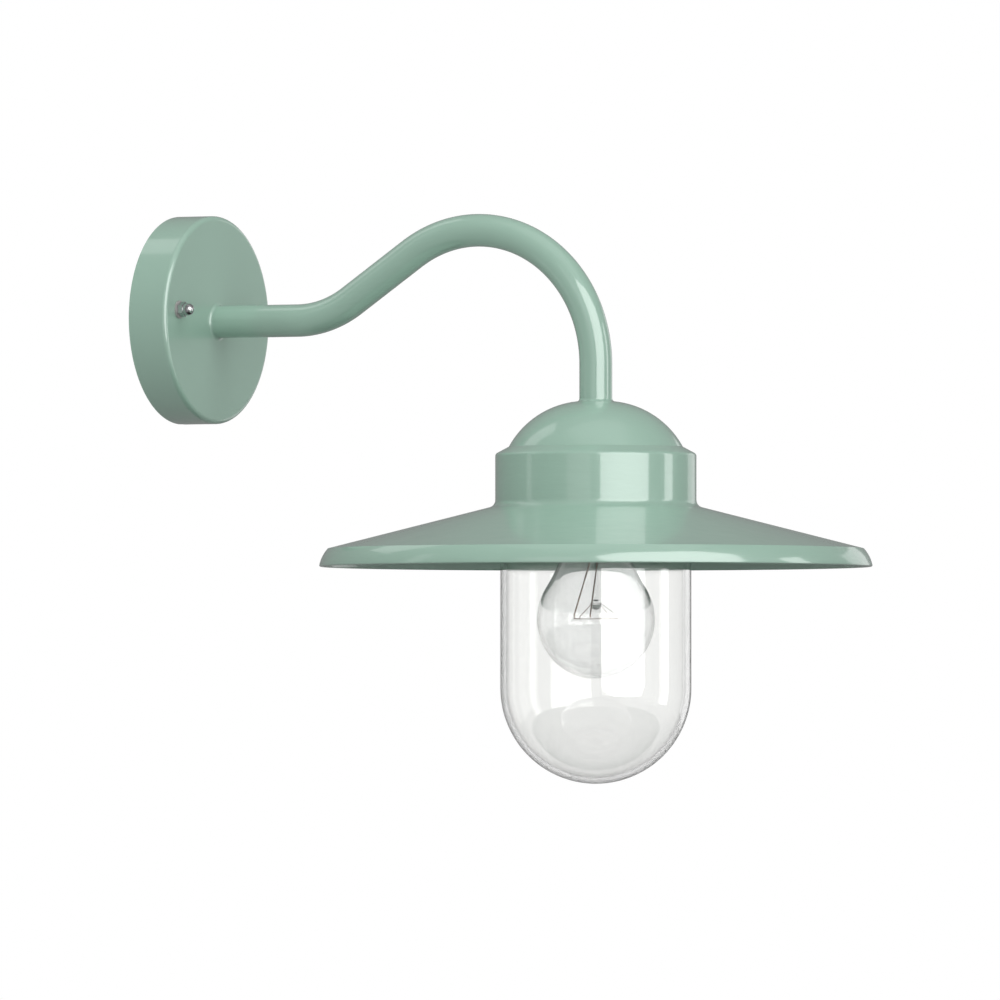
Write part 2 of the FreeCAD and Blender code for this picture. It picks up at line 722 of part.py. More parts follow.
def crown_seal():
    rim = dim.crown_seal_diameter / 2
    body = turned("crown_seal", [
        (spigot_hole, dome_inside(spigot_hole)), (rim, dome_inside(rim)), (rim, crown_nut_top),
        (spigot_hole, crown_nut_top)], {0: -(dim.dome_radius - dim.shade_wall)})
    return on_lamp_axis(body)


def crown_nut():
    return on_lamp_axis(thin_nut("crown_nut"), carrier_top)


def carrier_nut():
    return on_lamp_axis(thin_nut("carrier_nut"), lower_nut_top - dim.thin_nut_height)


def shade():
    # One spun piece: dome, shoulder, upright band, cone and turned-down lip.
    foot = (dim.dome_foot_diameter / 2, dome_top - dim.dome_height)
    band = dim.band_diameter / 2
    shoulder = (band, foot[1] - dim.shoulder_drop)
    band_foot = (band, shoulder[1] - dim.band_height)
    crease = (dim.shade_diameter / 2 - dim.lip_flare, rim_level + dim.lip_height)
    body = turned("shade", [
        (0, dome_top), (dome_flat, dome_top), foot, shoulder, band_foot, crease,
        (dim.shade_diameter / 2, rim_level), (0, rim_level)],
        {1: -dim.dome_radius, 5: -dim.lip_radius})
    for radius, corner in ((dim.shoulder_round, shoulder), (dim.band_foot_round, band_foot),
                           (dim.lip_crease_round, crease)):
        round_edges(body, radius, ring_at(*corner))
    hollow(body, dim.shade_wall, rim_level, "z")
    hole = new_sketch(body, "hole", "XY_Plane", dome_top)
    draw_circle(hole, (0, 0), spigot_hole)
    cut(body, hole)
    return on_lamp_axis(body)


def jar_carrier():
    # A casting: hub round the lampholder, flat disc, and a skirt that holds the jar's neck.
    wall = dim.carrier_wall
    hub, skirt = dim.carrier_hub_diameter / 2, dim.carrier_diameter / 2
    bore = dim.jar_neck_diameter / 2 + dim.neck_play
    body = turned("jar_carrier", [
        (spigot_hole, carrier_top), (hub, carrier_top), (hub, disc_top), (skirt, disc_top),
        (skirt, skirt_edge), (bore, skirt_edge), (bore, disc_top - wall), (hub - wall, disc_top - wall),
        (hub - wall, strap_top), (spigot_hole, strap_top)])
    round_edges(body, dim.carrier_round, ring_at(hub, carrier_top), ring_at(hub, disc_top),
                ring_at(skirt, disc_top))
    return on_lamp_axis(body)


def holder_strap():
    # A hat-shaped strap: the web under the carrier, two legs, and feet on the lampholder.
    sheet_gauge, inner = dim.strap_thickness, dim.strap_inside / 2
    outer, toe = inner + sheet_gauge, inner + dim.strap_foot
    under, ankle = strap_top - sheet_gauge, holder_top + sheet_gauge
    body = new_body("holder_strap")
    profile = new_sketch(body, "profile", "YZ_Plane")
    draw_outline(profile, [
        (-toe, holder_top), (-inner, holder_top), (-inner, under), (inner, under), (inner, holder_top),
        (toe, holder_top), (toe, ankle), (outer, ankle), (outer, strap_top), (-outer, strap_top),
        (-outer, ankle), (-toe, ankle)])
    pad(body, profile, dim.strap_width, midplane=True)
    round_edges(body, dim.strap_bend, *(line_at("x", side, level) for side, level in (
        (-inner, under), (inner, under), (-outer, ankle), (outer, ankle))))
    round_edges(body, dim.strap_bend + sheet_gauge, *(line_at("x", side, level) for side, level in (
        (-outer, strap_top), (outer, strap_top))))
    round_edges(body, dim.strap_width / 4, *(line_at("z", side, toe_side) for side in (
        -dim.strap_width / 2, dim.strap_width / 2) for toe_side in (-toe, toe)))
    web = new_sketch(body, "web_hole", "XY_Plane", strap_top)
    draw_circle(web, (0, 0), spigot_hole)
    cut(body, web)
    feet = new_sketch(body, "foot_holes", "XY_Plane", ankle)
    for side in (-1, 1):
        draw_circle(feet, (0, dim.holder_screw_spacing / 2 * side), holder_screw_hole)
    cut(body, feet)
    return on_lamp_axis(body)


def slotted_screw(label, shank, length, head, head_height):
    # Stands head up with the head's underside on the XY plane.
    edge = head / 2
    body = turned(label, [(0, -length), (shank / 2, -length), (shank / 2, 0), (edge, 0),
                          (edge, head_height / 2), (edge * 2 / 3, head_height), (0, head_height)])
    slot = new_sketch(body, "slot", "XY_Plane", head_height)
    draw_rectangle(slot, (0, 0), head * 2, dim.driver_slot)
    cut(body, slot, dim.driver_slot_depth)
    return body


def holder_screws():
    screw = slotted_screw("holder_screw", dim.holder_screw_diameter, dim.holder_screw_length,
                          dim.holder_screw_head, dim.holder_screw_head_height)
    return group("holder_screws", screw, [
        (lamp_axis, dim.holder_screw_spacing / 2 * side, holder_top + dim.strap_thickness)
        for side in (-1, 1)])


def lampholder():
    # Porcelain: a thick closed top with two terminal slots, and the bore for the screw shell.
    outside, mouth = dim.holder_diameter / 2, dim.holder_mouth_diameter / 2
    bore = shell_radius + dim.shell_wall + dim.running_gap
    step = holder_bottom + dim.holder_mouth_depth
    body = turned("lampholder", [
        (0, holder_top), (outside, holder_top), (outside, holder_bottom), (mouth, holder_bottom),
        (mouth, step), (bore, step), (bore, socket_floor), (0, socket_floor)])
    round_edges(body, dim.holder_round, ring_at(outside, holder_top), ring_at(outside, holder_bottom))
    slots = new_sketch(body, "post_slots", "XY_Plane", holder_top)
    for offset in (-dim.live_offset, dim.neutral_offset):
        draw_rectangle(slots, (offset, 0), dim.post_length + dim.fit_gap * 2,
                       dim.post_width + dim.fit_gap * 2)
    cut(body, slots)
    screws = new_sketch(body, "screw_holes", "XY_Plane", holder_top)
    for side in (-1, 1):
        draw_circle(screws, (0, dim.holder_screw_spacing / 2 * side), holder_screw_hole)
    cut(body, screws, dim.holder_screw_length)
    return on_lamp_axis(body)


def screw_shell():
    inside, outside, flange = shell_radius, shell_radius + dim.shell_wall, shell_radius - dim.shell_flange
    foot = holder_bottom + dim.holder_mouth_depth
    body = turned("screw_shell", [
        (inside, foot), (outside, foot), (outside, socket_floor), (flange, socket_floor),
        (flange, socket_floor - dim.shell_wall), (inside, socket_floor - dim.shell_wall)])
    return on_lamp_axis(body)


def terminal_post(label, offset):
    # A brass post through the porcelain, with a hole for the core in its top.
    body = new_body(label)
    block = new_sketch(body, "block", "XY_Plane", socket_floor)
    draw_rectangle(block, (offset, 0), dim.post_length, dim.post_width)
    pad(body, block, dim.holder_floor + dim.post_stand)
    entry = new_sketch(body, "entry", "XY_Plane", holder_top + dim.post_stand)
    draw_circle(entry, (offset, 0), dim.core_diameter / 2 + dim.running_gap)
    cut(body, entry, dim.core_entry + dim.post_stand)
    return on_lamp_axis(body)


def contact_leaf():
    # A springy tongue: held under the live post, dipped to the bulb's tip, turned up at its end.
    root_side = -dim.live_offset - dim.post_length / 2
    dip, end = leaf_seat - dim.leaf_dip, leaf_seat - dim.leaf_dip + dim.leaf_tail_rise
    thick = dim.leaf_thickness
    body = new_body("contact_leaf")
    profile = new_sketch(body, "profile", "XZ_Plane")
    draw_outline(profile, [(root_side, leaf_seat), (0, dip), (dim.leaf_tail, end),
                           (dim.leaf_tail, end + thick), (0, dip + thick), (root_side, leaf_seat + thick)])
    pad(body, profile, dim.leaf_width, midplane=True)
    return on_lamp_axis(body)


def jar_seal():
    inside = dim.jar_neck_diameter / 2 + dim.neck_play
    outside = inside + dim.jar_seal_width
    body = turned("jar_seal", [(inside, jar_shoulder), (outside, jar_shoulder),
                               (outside, skirt_edge), (inside, skirt_edge)])
    return on_lamp_axis(body)


def glass_jar():
    # Straight wall, hemispherical foot, flat shoulder and a narrower neck.
    outside, wall, neck = dim.jar_diameter / 2, dim.jar_wall, dim.jar_neck_diameter / 2
    neck_top, foot = jar_shoulder + dim.jar_neck_height, jar_shoulder - dim.jar_length
    equator = foot + outside
    body = turned("glass_jar", [
        (neck, neck_top), (neck, jar_shoulder), (outside, jar_shoulder), (outside, equator), (0, foot),
        (0, foot + wall), (outside - wall, equator), (outside - wall, jar_shoulder - wall),
        (neck - wall, jar_shoulder - wall), (neck - wall, neck_top)],
        {3: -outside, 5: outside - wall})
    round_edges(body, dim.jar_shoulder_round, ring_at(outside, jar_shoulder))
    return on_lamp_axis(body)


def bulb_tip():
    tip = dim.tip_diameter / 2
    body = turned("bulb_tip", [(0, bulb_top), (tip * 2 / 3, bulb_top), (tip, bulb_top - dim.tip_height / 2),
                               (tip, bulb_top - dim.tip_height), (0, bulb_top - dim.tip_height)])
    return on_lamp_axis(body)


def bulb_insulator():
    tip, rim = dim.tip_diameter / 2, dim.cap_diameter / 2 - dim.cap_wall
    seat, top = bulb_top - dim.tip_height, bulb_top - dim.cap_top_height
    body = turned("bulb_insulator", [(0, seat), (tip, seat), (rim, top), (rim, top - dim.tip_height),
                                     (0, top - dim.tip_height)])
    return on_lamp_axis(body)


def bulb_cap():
    cap, wall, flare = dim.cap_diameter / 2, dim.cap_wall, dim.bulb_neck_diameter / 2
    top, waist = bulb_top - dim.cap_top_height, cap_edge + dim.cap_flare_height
    body = turned("bulb_cap", [
        (cap - wall, top), (cap, top), (cap, waist), (flare, cap_edge), (flare - wall, cap_edge),
        (cap - wall, waist)])
    return on_lamp_axis(body)


def neck_arc(start, end):
    # The radius that carries the globe's slope at its start on into the neck.
    across, up = end[0] - start[0], end[1] - start[1]
    aside = across * cosine(dim.globe_angle) + up * sine(dim.globe_angle)
    return (across * across + up * up) / (aside * 2)


def bulb_glass():
    # Globe, waisted neck and the narrow end inside the cap, all one blown wall.
    wall, globe = dim.bulb_wall, dim.bulb_diameter / 2
    equator = bulb_foot + globe
    neck = (dim.bulb_neck_diameter / 2, cap_edge - dim.running_gap)
    collar = dim.cap_diameter / 2 - dim.cap_wall - dim.running_gap
    collar_foot = cap_edge + dim.cap_flare_height
    collar_top = bulb_top - dim.cap_top_height - dim.tip_height * 2

    def blend(radius):
        return (radius * cosine(dim.globe_angle), equator + radius * sine(dim.globe_angle))

    outer, inner = blend(globe), blend(globe - wall)
    under_cap = (neck[0] - dim.cap_wall - dim.running_gap, cap_edge)
    neck_inside = (neck[0] - wall, neck[1] - wall)
    body = turned("bulb_glass", [
        (collar, collar_top), (collar, collar_foot), under_cap, neck, outer, (0, bulb_foot),
        (0, bulb_foot + wall), inner, neck_inside, (collar - wall, collar_foot),
        (collar - wall, collar_top)],
        {3: neck_arc(outer, neck), 4: -globe, 6: globe - wall, 7: -neck_arc(inner, neck_inside)})
    return on_lamp_axis(body)


stem_foot = cap_edge - dim.stem_length
button_middle = bulb_top - dim.button_level
lead_end = bulb_top - dim.lead_level
filament_level = lead_end - dim.filament_diameter / 2
hook_turn = (360 - dim.filament_gap_angle) / 4


def bulb_stem():
    # The flare closes the neck, a glass rod runs down from it and ends in a button.
    flare = dim.cap_diameter / 2 - dim.cap_wall - dim.running_gap - dim.bulb_wall - dim.fit_gap
    stem, rod, button = dim.stem_diameter / 2, dim.arbor_diameter / 2, dim.button_diameter / 2
    depth = dim.button_height / 2
    curve = (button * button + depth * depth) / (button * 2)
    top = bulb_top - dim.cap_top_height - dim.tip_height * 2
    rod_foot = button_middle + depth * (1 - rod / button)
    body = turned("bulb_stem", [
        (0, top), (flare, top), (stem, top - dim.stem_flare), (stem, stem_foot), (rod, stem_foot),
        (rod, rod_foot), (button, button_middle), (0, button_middle - depth)],
        {6: -curve})
    return on_lamp_axis(body)


def turned_as_hung(piece):
    # The wires, filament and hooks turn together about the lamp's axis.
    turn = FreeCAD.Rotation(FreeCAD.Vector(0, 0, 1), dim.filament_angle.value)
    return on_lamp_axis(piece, turn=turn)


def filament_stops(radius):
    # From one wire to the other the long way round, over the three hooks.
    turns = [dim.filament_gap_angle / 2 + hook_turn * step for step in range(5)]
    return [(-radius * cosine(turn), radius * sine(turn)) for turn in turns]


def bulb_leads():
    top, step = dim.lead_top_spread / 2, dim.lead_diameter * 2
    ends = filament_stops(dim.filament_ring / 2)
    wires = [wire([(0, top * side, stem_foot), (0, top * side, stem_foot - step),
                   (x, y, lead_end + step), (x, y, lead_end)],
                  [step, step], dim.lead_diameter) for side, (x, y) in ((1, ends[0]), (-1, ends[4]))]
    return turned_as_hung(shaped("bulb_leads", *wires))


def bulb_filament():
    # Each bend's middle lies on the ring, so its corner stands outside it.
    ring, bend = dim.filament_ring / 2, dim.filament_bend
    corners = filament_stops(ring + bend / cosine(hook_turn / 2) - bend)
    ends = filament_stops(ring)
    path = [(x, y, filament_level) for x, y in (ends[0], *corners[1:4], ends[4])]
    return turned_as_hung(shaped("bulb_filament", wire(path, [bend] * 3, dim.filament_diameter)))


def bulb_supports():
    # Out from the button and down onto the filament.
    reach = (dim.button_diameter / 2 + dim.fit_gap) / (dim.filament_ring / 2)
    step = dim.support_diameter * 2
    hooks = [wire([(reach * x, reach * y, button_middle), (x, y, lead_end + step), (x, y, lead_end)],
                  [step], dim.support_diameter) for x, y in filament_stops(dim.filament_ring / 2)[1:4]]
    return turned_as_hung(shaped("bulb_supports", *hooks))


def terminal_block():
    length = dim.pole_pitch * 2 + dim.insert_diameter + dim.block_margin * 2
    front = dim.bracket_thickness + dim.block_depth
    body = new_body("terminal_block")
    blank = new_sketch(body, "blank", "YZ_Plane", dim.bracket_thickness)
    draw_rectangle(blank, (0, -dim.block_level), length, dim.block_height)
    pad(body, blank, dim.block_depth)
    round_edges(body, dim.block_round, *(line_at("x", length / 2 * side, level) for side in (-1, 1)
                                         for level in (block_top, block_top - dim.block_height)))
    bores = new_sketch(body, "bores", "XY_Plane", block_top)
    wells = new_sketch(body, "wells", "YZ_Plane", front)
    for pole in (-1, 0, 1):
        draw_circle(bores, (core_plane, dim.pole_pitch * pole), dim.insert_diameter / 2 + dim.fit_gap)
        for side in (-1, 1):
            draw_circle(wells, (dim.pole_pitch * pole, dim.clamp_spacing / 2 * side - dim.block_level),
                        dim.clamp_well / 2)
    cut(body, bores)
    cut(body, wells, dim.block_depth / 2)
    fixings = new_sketch(body, "fixings", "YZ_Plane", front)
    for side in (-1, 1):
        draw_circle(fixings, (dim.pole_pitch / 2 * side, -dim.block_level),
                    dim.block_screw_diameter / 2 + dim.fit_gap)
    cut(body, fixings)
    return body


def terminal_inserts():
    half, wall = dim.insert_length / 2, dim.insert_diameter / 2
    insert = turned("terminal_insert", [(dim.insert_bore / 2, -half), (wall, -half), (wall, half),
                                        (dim.insert_bore / 2, half)])
    taps = new_sketch(insert, "taps", "YZ_Plane")
    for side in (-1, 1):
        draw_circle(taps, (0, dim.clamp_spacing / 2 * side), dim.clamp_diameter / 2 + dim.fit_gap)
    cut(insert, taps, forward=True)
    return group("terminal_inserts", insert, [
        (core_plane, dim.pole_pitch * pole, -dim.block_level) for pole in (-1, 0, 1)])


def clamp_screws():
    # Each presses on a core, with its head in the well.
    length = dim.insert_diameter / 2 - dim.core_diameter / 2
    screw = slotted_screw("clamp_screw", dim.clamp_diameter, length - dim.fit_gap, dim.clamp_head_diameter,
                          dim.clamp_head_height)
    screw.Placement.Rotation = along_x
    return group("clamp_screws", screw, [
        (core_plane + dim.insert_diameter / 2, dim.pole_pitch * pole,
         dim.clamp_spacing / 2 * side - dim.block_level) for pole in (-1, 0, 1) for side in (-1, 1)])


def block_screws():
    front = dim.bracket_thickness + dim.block_depth
    screw = slotted_screw("block_screw", dim.block_screw_diameter, front, dim.block_screw_head,
                          dim.clamp_head_height)
    screw.Placement.Rotation = along_x
    return group("block_screws", screw, [
        (front, dim.pole_pitch / 2 * side, -dim.block_level) for side in (-1, 1)])


def arm_core(label, side, pole):
    # From its terminal, through the whole arm, to its post on the lampholder.
    y = dim.core_spacing / 2 * side
    bend = dim.arm_run + dim.low_bend_radius * (1 - rise_cosine) / rise_sine
    peak = arm_axis + (lamp_axis - bend) * rise_sine / rise_cosine
    post = lamp_axis + (dim.neutral_offset if side > 0 else -dim.live_offset)
    corners = [
        (core_plane, dim.pole_pitch * pole, block_top - dim.core_entry),
        (core_plane, dim.pole_pitch * pole, block_top + dim.core_lead_out),
        (core_plane, y, arm_axis),
        (bend, y, arm_axis),
        (lamp_axis, y, peak),
        (lamp_axis, y, head_spigot_end - dim.thread_overrun),
        (post, 0, holder_top + dim.core_lead_out),
        (post, 0, holder_top + dim.post_stand - dim.core_entry)]
    bends = [dim.core_bend, dim.core_bend, dim.low_bend_radius, dim.high_bend_radius,
             dim.core_bend_tight, dim.core_bend_tight]
    return shaped(label, wire(corners, bends, dim.core_diameter))


def earth_lead():
    barrel = dim.bracket_thickness + dim.tag_barrel_diameter / 2 + dim.fit_gap
    tag_foot = dim.stud_rise - dim.tag_barrel_drop - dim.tag_barrel_length
    corners = [
        (core_plane, dim.pole_pitch, block_top - dim.core_entry),
        (core_plane, dim.pole_pitch, block_top + dim.core_lead_out),
        (barrel, dim.earth_offset, tag_foot - dim.core_lead_out),
        (barrel, dim.earth_offset, tag_foot + dim.core_diameter / 2)]
    return shaped("earth_lead", wire(corners, [dim.core_bend, dim.core_bend], dim.core_diameter))


def earth_tag():
    # A ring under the screw's head, its neck, and the barrel crimped on the lead.
    ring, barrel = dim.tag_diameter / 2, dim.tag_barrel_diameter / 2
    foot = dim.stud_rise - dim.tag_barrel_drop - dim.tag_barrel_length
    body = new_body("earth_tag")
    eye = new_sketch(body, "eye", "YZ_Plane", dim.bracket_thickness)
    draw_circle(eye, (dim.earth_offset, dim.stud_rise), ring)
    pad(body, eye, dim.tag_thickness)
    neck = new_sketch(body, "neck", "YZ_Plane", dim.bracket_thickness)
    draw_rectangle(neck, (dim.earth_offset, (dim.stud_rise + foot) / 2), dim.tag_barrel_diameter,
                   dim.stud_rise - foot)
    pad(body, neck, dim.tag_thickness)
    crimp = new_sketch(body, "crimp", "XY_Plane", foot)
    centre = (dim.bracket_thickness + barrel + dim.fit_gap, dim.earth_offset)
    draw_circle(crimp, centre, barrel)
    pad(body, crimp, dim.tag_barrel_length)
    core = new_sketch(body, "core", "XY_Plane", foot)
    draw_circle(core, centre, dim.core_diameter / 2 + dim.fit_gap)
    cut(body, core, dim.tag_barrel_length, forward=True)
    hole = new_sketch(body, "hole", "YZ_Plane", dim.bracket_thickness)
    draw_circle(hole, (dim.earth_offset, dim.stud_rise), dim.earth_screw_diameter / 2 + dim.fit_gap)
    cut(body, hole, forward=True)
    return body


def earth_screw():
    body = slotted_screw("earth_screw", dim.earth_screw_diameter, dim.bracket_thickness + dim.tag_thickness,
                         dim.earth_screw_head, dim.earth_screw_head_height)
    return place(body, dim.bracket_thickness + dim.tag_thickness, dim.earth_offset, dim.stud_rise, along_x)


pieces = [
    wall_plate(), wall_seal(), mounting_bracket(), cable_grommet(), bracket_studs(), stud_lock_nuts(),
    seal_washer("seal_washer_left", -1), seal_washer("seal_washer_right", 1),
    cap_nut("cap_nut_left", -1), cap_nut("cap_nut_right", 1),
    arm_tube(), wall_spigot(), wall_washer(), wall_nut(), head_spigot(), crown_seal(), crown_nut(),
    shade(), jar_carrier(), carrier_nut(), holder_strap(), holder_screws(), lampholder(), screw_shell(),
    terminal_post("live_post", -dim.live_offset), terminal_post("neutral_post", dim.neutral_offset),
    contact_leaf(), jar_seal(), glass_jar(), bulb_tip(), bulb_insulator(), bulb_cap(), bulb_glass(),
    bulb_stem(), bulb_leads(), bulb_supports(), bulb_filament(), terminal_block(), terminal_inserts(),
    clamp_screws(), block_screws(), arm_core("live_core", -1, -1), arm_core("neutral_core", 1, 0),
    earth_lead(), earth_tag(), earth_screw(),
]
doc.recompute()

for item in doc.Objects:
    if "Invalid" in item.State or "Error" in item.State:
        raise RuntimeError("%s could not be made: %s" % (item.Label, item.State))
    if item.isDerivedFrom("Sketcher::SketchObject") and not item.FullyConstrained:
        raise RuntimeError("the sketch %s is not fully constrained" % item.Label)
    if item.isDerivedFrom("PartDesign::Pocket") and item.Shape.Volume >= item.BaseFeature.Shape.Volume:
        raise RuntimeError("%s cuts nothing" % item.Label)

os.makedirs("parts", exist_ok=True)
for piece in pieces:
    if piece.Shape.isNull() or not piece.Shape.isValid():
        raise RuntimeError("%s has no sound shape" % piece.Label)
    piece.Shape.exportStep("parts/%s.step" % piece.Label)
    print("%-18s %2d solids %10.1f" % (piece.Label, len(piece.Shape.Solids), piece.Shape.Volume))
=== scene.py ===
import json
import math

import bpy
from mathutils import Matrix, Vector


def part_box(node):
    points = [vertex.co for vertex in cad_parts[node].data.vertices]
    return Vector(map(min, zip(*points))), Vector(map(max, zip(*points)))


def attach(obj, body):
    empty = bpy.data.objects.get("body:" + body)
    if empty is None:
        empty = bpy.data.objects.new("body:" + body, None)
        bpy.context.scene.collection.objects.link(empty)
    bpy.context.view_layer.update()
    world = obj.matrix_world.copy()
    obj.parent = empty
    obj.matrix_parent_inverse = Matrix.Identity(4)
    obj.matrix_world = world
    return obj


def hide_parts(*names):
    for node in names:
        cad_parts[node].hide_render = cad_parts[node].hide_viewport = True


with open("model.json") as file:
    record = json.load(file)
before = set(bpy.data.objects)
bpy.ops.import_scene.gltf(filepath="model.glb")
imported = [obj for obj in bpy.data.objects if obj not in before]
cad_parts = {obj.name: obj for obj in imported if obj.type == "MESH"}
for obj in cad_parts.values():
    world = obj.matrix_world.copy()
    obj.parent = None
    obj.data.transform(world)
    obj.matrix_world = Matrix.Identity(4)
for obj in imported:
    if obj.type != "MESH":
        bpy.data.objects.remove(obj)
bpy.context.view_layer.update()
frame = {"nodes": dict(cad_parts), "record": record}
nodes = frame["nodes"]

# Places read from the frame, in metres: X out from the wall, Z up
shadeLow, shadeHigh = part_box("shade")
lampX = (shadeLow.x + shadeHigh.x) / 2
domeTop = shadeHigh.z
rimLevel = shadeLow.z
rimRadius = (shadeHigh.x - shadeLow.x) / 2
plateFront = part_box("wall_plate")[1].x
armAxis = sum(corner.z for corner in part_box("wall_spigot")) / 2
print("frame loaded:", len(nodes), "nodes")


# Small modelling tools

mergeGap = 0.000005  # points closer than this become one


def startPiece():
    # an operator acts on all that is selected, so nothing stays selected
    if bpy.context.object and bpy.context.object.mode != "OBJECT":
        bpy.ops.object.mode_set(mode="OBJECT")
    bpy.ops.object.select_all(action="DESELECT")


def settle(piece, name, spot=(0, 0, 0), tilt=(0, 0, 0)):
    # the finished object sits at the origin, with its place in its mesh
    piece.name = piece.data.name = name
    piece.rotation_euler = tilt
    piece.location = spot
    bpy.ops.object.transform_apply(location=True, rotation=True, scale=True)
    return piece


def applyAll(piece):
    for modifier in list(piece.modifiers):
        bpy.ops.object.modifier_apply(modifier=modifier.name)


def smooth(piece, angle):
    # edges sharper than the angle stay sharp
    bpy.ops.object.shade_smooth_by_angle(angle=math.radians(angle))
    return piece


def closeMesh():
    # doubles merged and faces turned outwards, then back to object mode
    bpy.ops.mesh.select_all(action="SELECT")
    bpy.ops.mesh.remove_doubles(threshold=mergeGap)
    bpy.ops.mesh.normals_make_consistent(inside=False)
    bpy.ops.object.mode_set(mode="OBJECT")


def arc(centre, radius, start, end, steps):
    # points of a round stretch, angles in degrees from the outward direction
    angles = [math.radians(start + (end - start) * step / steps) for step in range(steps + 1)]
    return [(centre[0] + radius * math.cos(a), centre[1] + radius * math.sin(a)) for a in angles]


def bulge(first, last, radius, steps):
    # a round stretch between two points, its centre on the axis side
    start, end = Vector(first), Vector(last)
    half = (end - start) / 2
    inward = Vector((-half.y, half.x)).normalized()
    if inward.x > 0:
        inward.negate()
    centre = start + half + inward * math.sqrt(radius ** 2 - half.length_squared)
    return [tuple(centre + (start - centre).slerp(end - centre, step / steps) * radius)
            for step in range(steps + 1)]


def rows(first, last, count):
    # evenly spaced points from one to the other
    return [tuple(Vector(first).lerp(Vector(last), step / count)) for step in range(count + 1)]


def rounded(corners, steps=6):
    # an outline of (radius, level) corners, where a third number rounds the corner
    outline = []
    for index, corner in enumerate(corners):
        here = Vector(corner[:2])
        if len(corner) < 3:
            outline.append(tuple(here))
            continue
        before = Vector(corners[index - 1][:2]) - here
        after = Vector(corners[(index + 1) % len(corners)][:2]) - here
        half = before.angle(after) / 2
        reach = corner[2] / math.tan(half)
        middle = here + (before.normalized() + after.normalized()).normalized() * corner[2] / math.sin(half)
        first = here + before.normalized() * reach - middle
        last = here + after.normalized() * reach - middle
        outline += [tuple(middle + first.slerp(last, step / steps) * corner[2]) for step in range(steps + 1)]
    return outline


def turned(outline, sides, closed=False):
    # an outline drawn point by point and spun round the upright axis
    startPiece()
    bpy.ops.mesh.primitive_plane_add()
    bpy.ops.object.mode_set(mode="EDIT")
    bpy.ops.mesh.select_all(action="SELECT")
    bpy.ops.mesh.merge(type="CENTER")
    bpy.ops.transform.translate(value=(outline[0][0], 0, outline[0][1]))
    here = outline[0]
    for stop in outline[1:] + (outline[:1] if closed else []):
        bpy.ops.mesh.extrude_vertices_move(
            TRANSFORM_OT_translate={"value": (stop[0] - here[0], 0, stop[1] - here[1])})
        here = stop
    bpy.ops.mesh.select_all(action="SELECT")
    bpy.ops.mesh.spin(steps=sides, angle=math.tau, center=(0, 0, 0), axis=(0, 0, 1))
    closeMesh()
    return bpy.context.object


def roll(piece, low, high, pitch, depth, sunk=0, sharpness=1, beyond=0, fade=0.0015):
    # a right-handed thread on the upright wall past a radius, standing out, or sunk in where sunk is 1,
    # that fades in and out at its ends
    for point in piece.data.vertices:
        radius = math.hypot(point.co.x, point.co.y)
        ends = min(point.co.z - low, high - point.co.z)
        if ends <= 0 or radius < beyond or radius == 0:
            continue
        turns = point.co.z / pitch - math.atan2(point.co.y, point.co.x) / math.tau
        wave = (0.5 + 0.5 * math.cos(math.tau * turns)) ** sharpness
        growth = 1 + depth * (wave - sunk) * min(ends / fade, 1) / radius
        point.co.x *= growth
        point.co.y *= growth
    piece.data.update()
    return piece


# Finishes

class Value:
    # an output socket, with the maths that the looks need written as nodes
    def __init__(self, nodeTree, socket):
        self.nodeTree = nodeTree
        self.socket = socket

    def maths(self, operation, first, second):
        return self.nodeTree.add("ShaderNodeMath", {"operation": operation}, {0: first, 1: second})

    def __radd__(self, other):
        return self.maths("ADD", other, self)

    def __rsub__(self, other):
        return self.maths("SUBTRACT", other, self)

    def __mul__(self, other):
        return self.maths("MULTIPLY", self, other)

    def __rmul__(self, other):
        return self.maths("MULTIPLY", other, self)


class NodeTree:
    # the nodes of a material or of the world
    def __init__(self, owner):
        owner.use_nodes = True
        self.tree = owner.node_tree

    def add(self, kind, settings=None, sockets=None, output=0):
        node = self.tree.nodes.new(kind)
        for setting, value in (settings or {}).items():
            setattr(node, setting, value)
        for socket, value in (sockets or {}).items():
            self.feed(node.inputs[socket], value)
        return Value(self, node.outputs[output])

    def feed(self, socket, value):
        if isinstance(value, Value):
            self.tree.links.new(value.socket, socket)
        else:
            socket.default_value = value

    def seenByLens(self):
        # 1 for camera, glossy and transmitted rays, which see the white room
        camera, gloss, through = [self.add("ShaderNodeLightPath", output="Is %s Ray" % kind)
                                  for kind in ("Camera", "Glossy", "Transmission")]
        return 1 - (1 - camera) * (1 - gloss) * (1 - through)


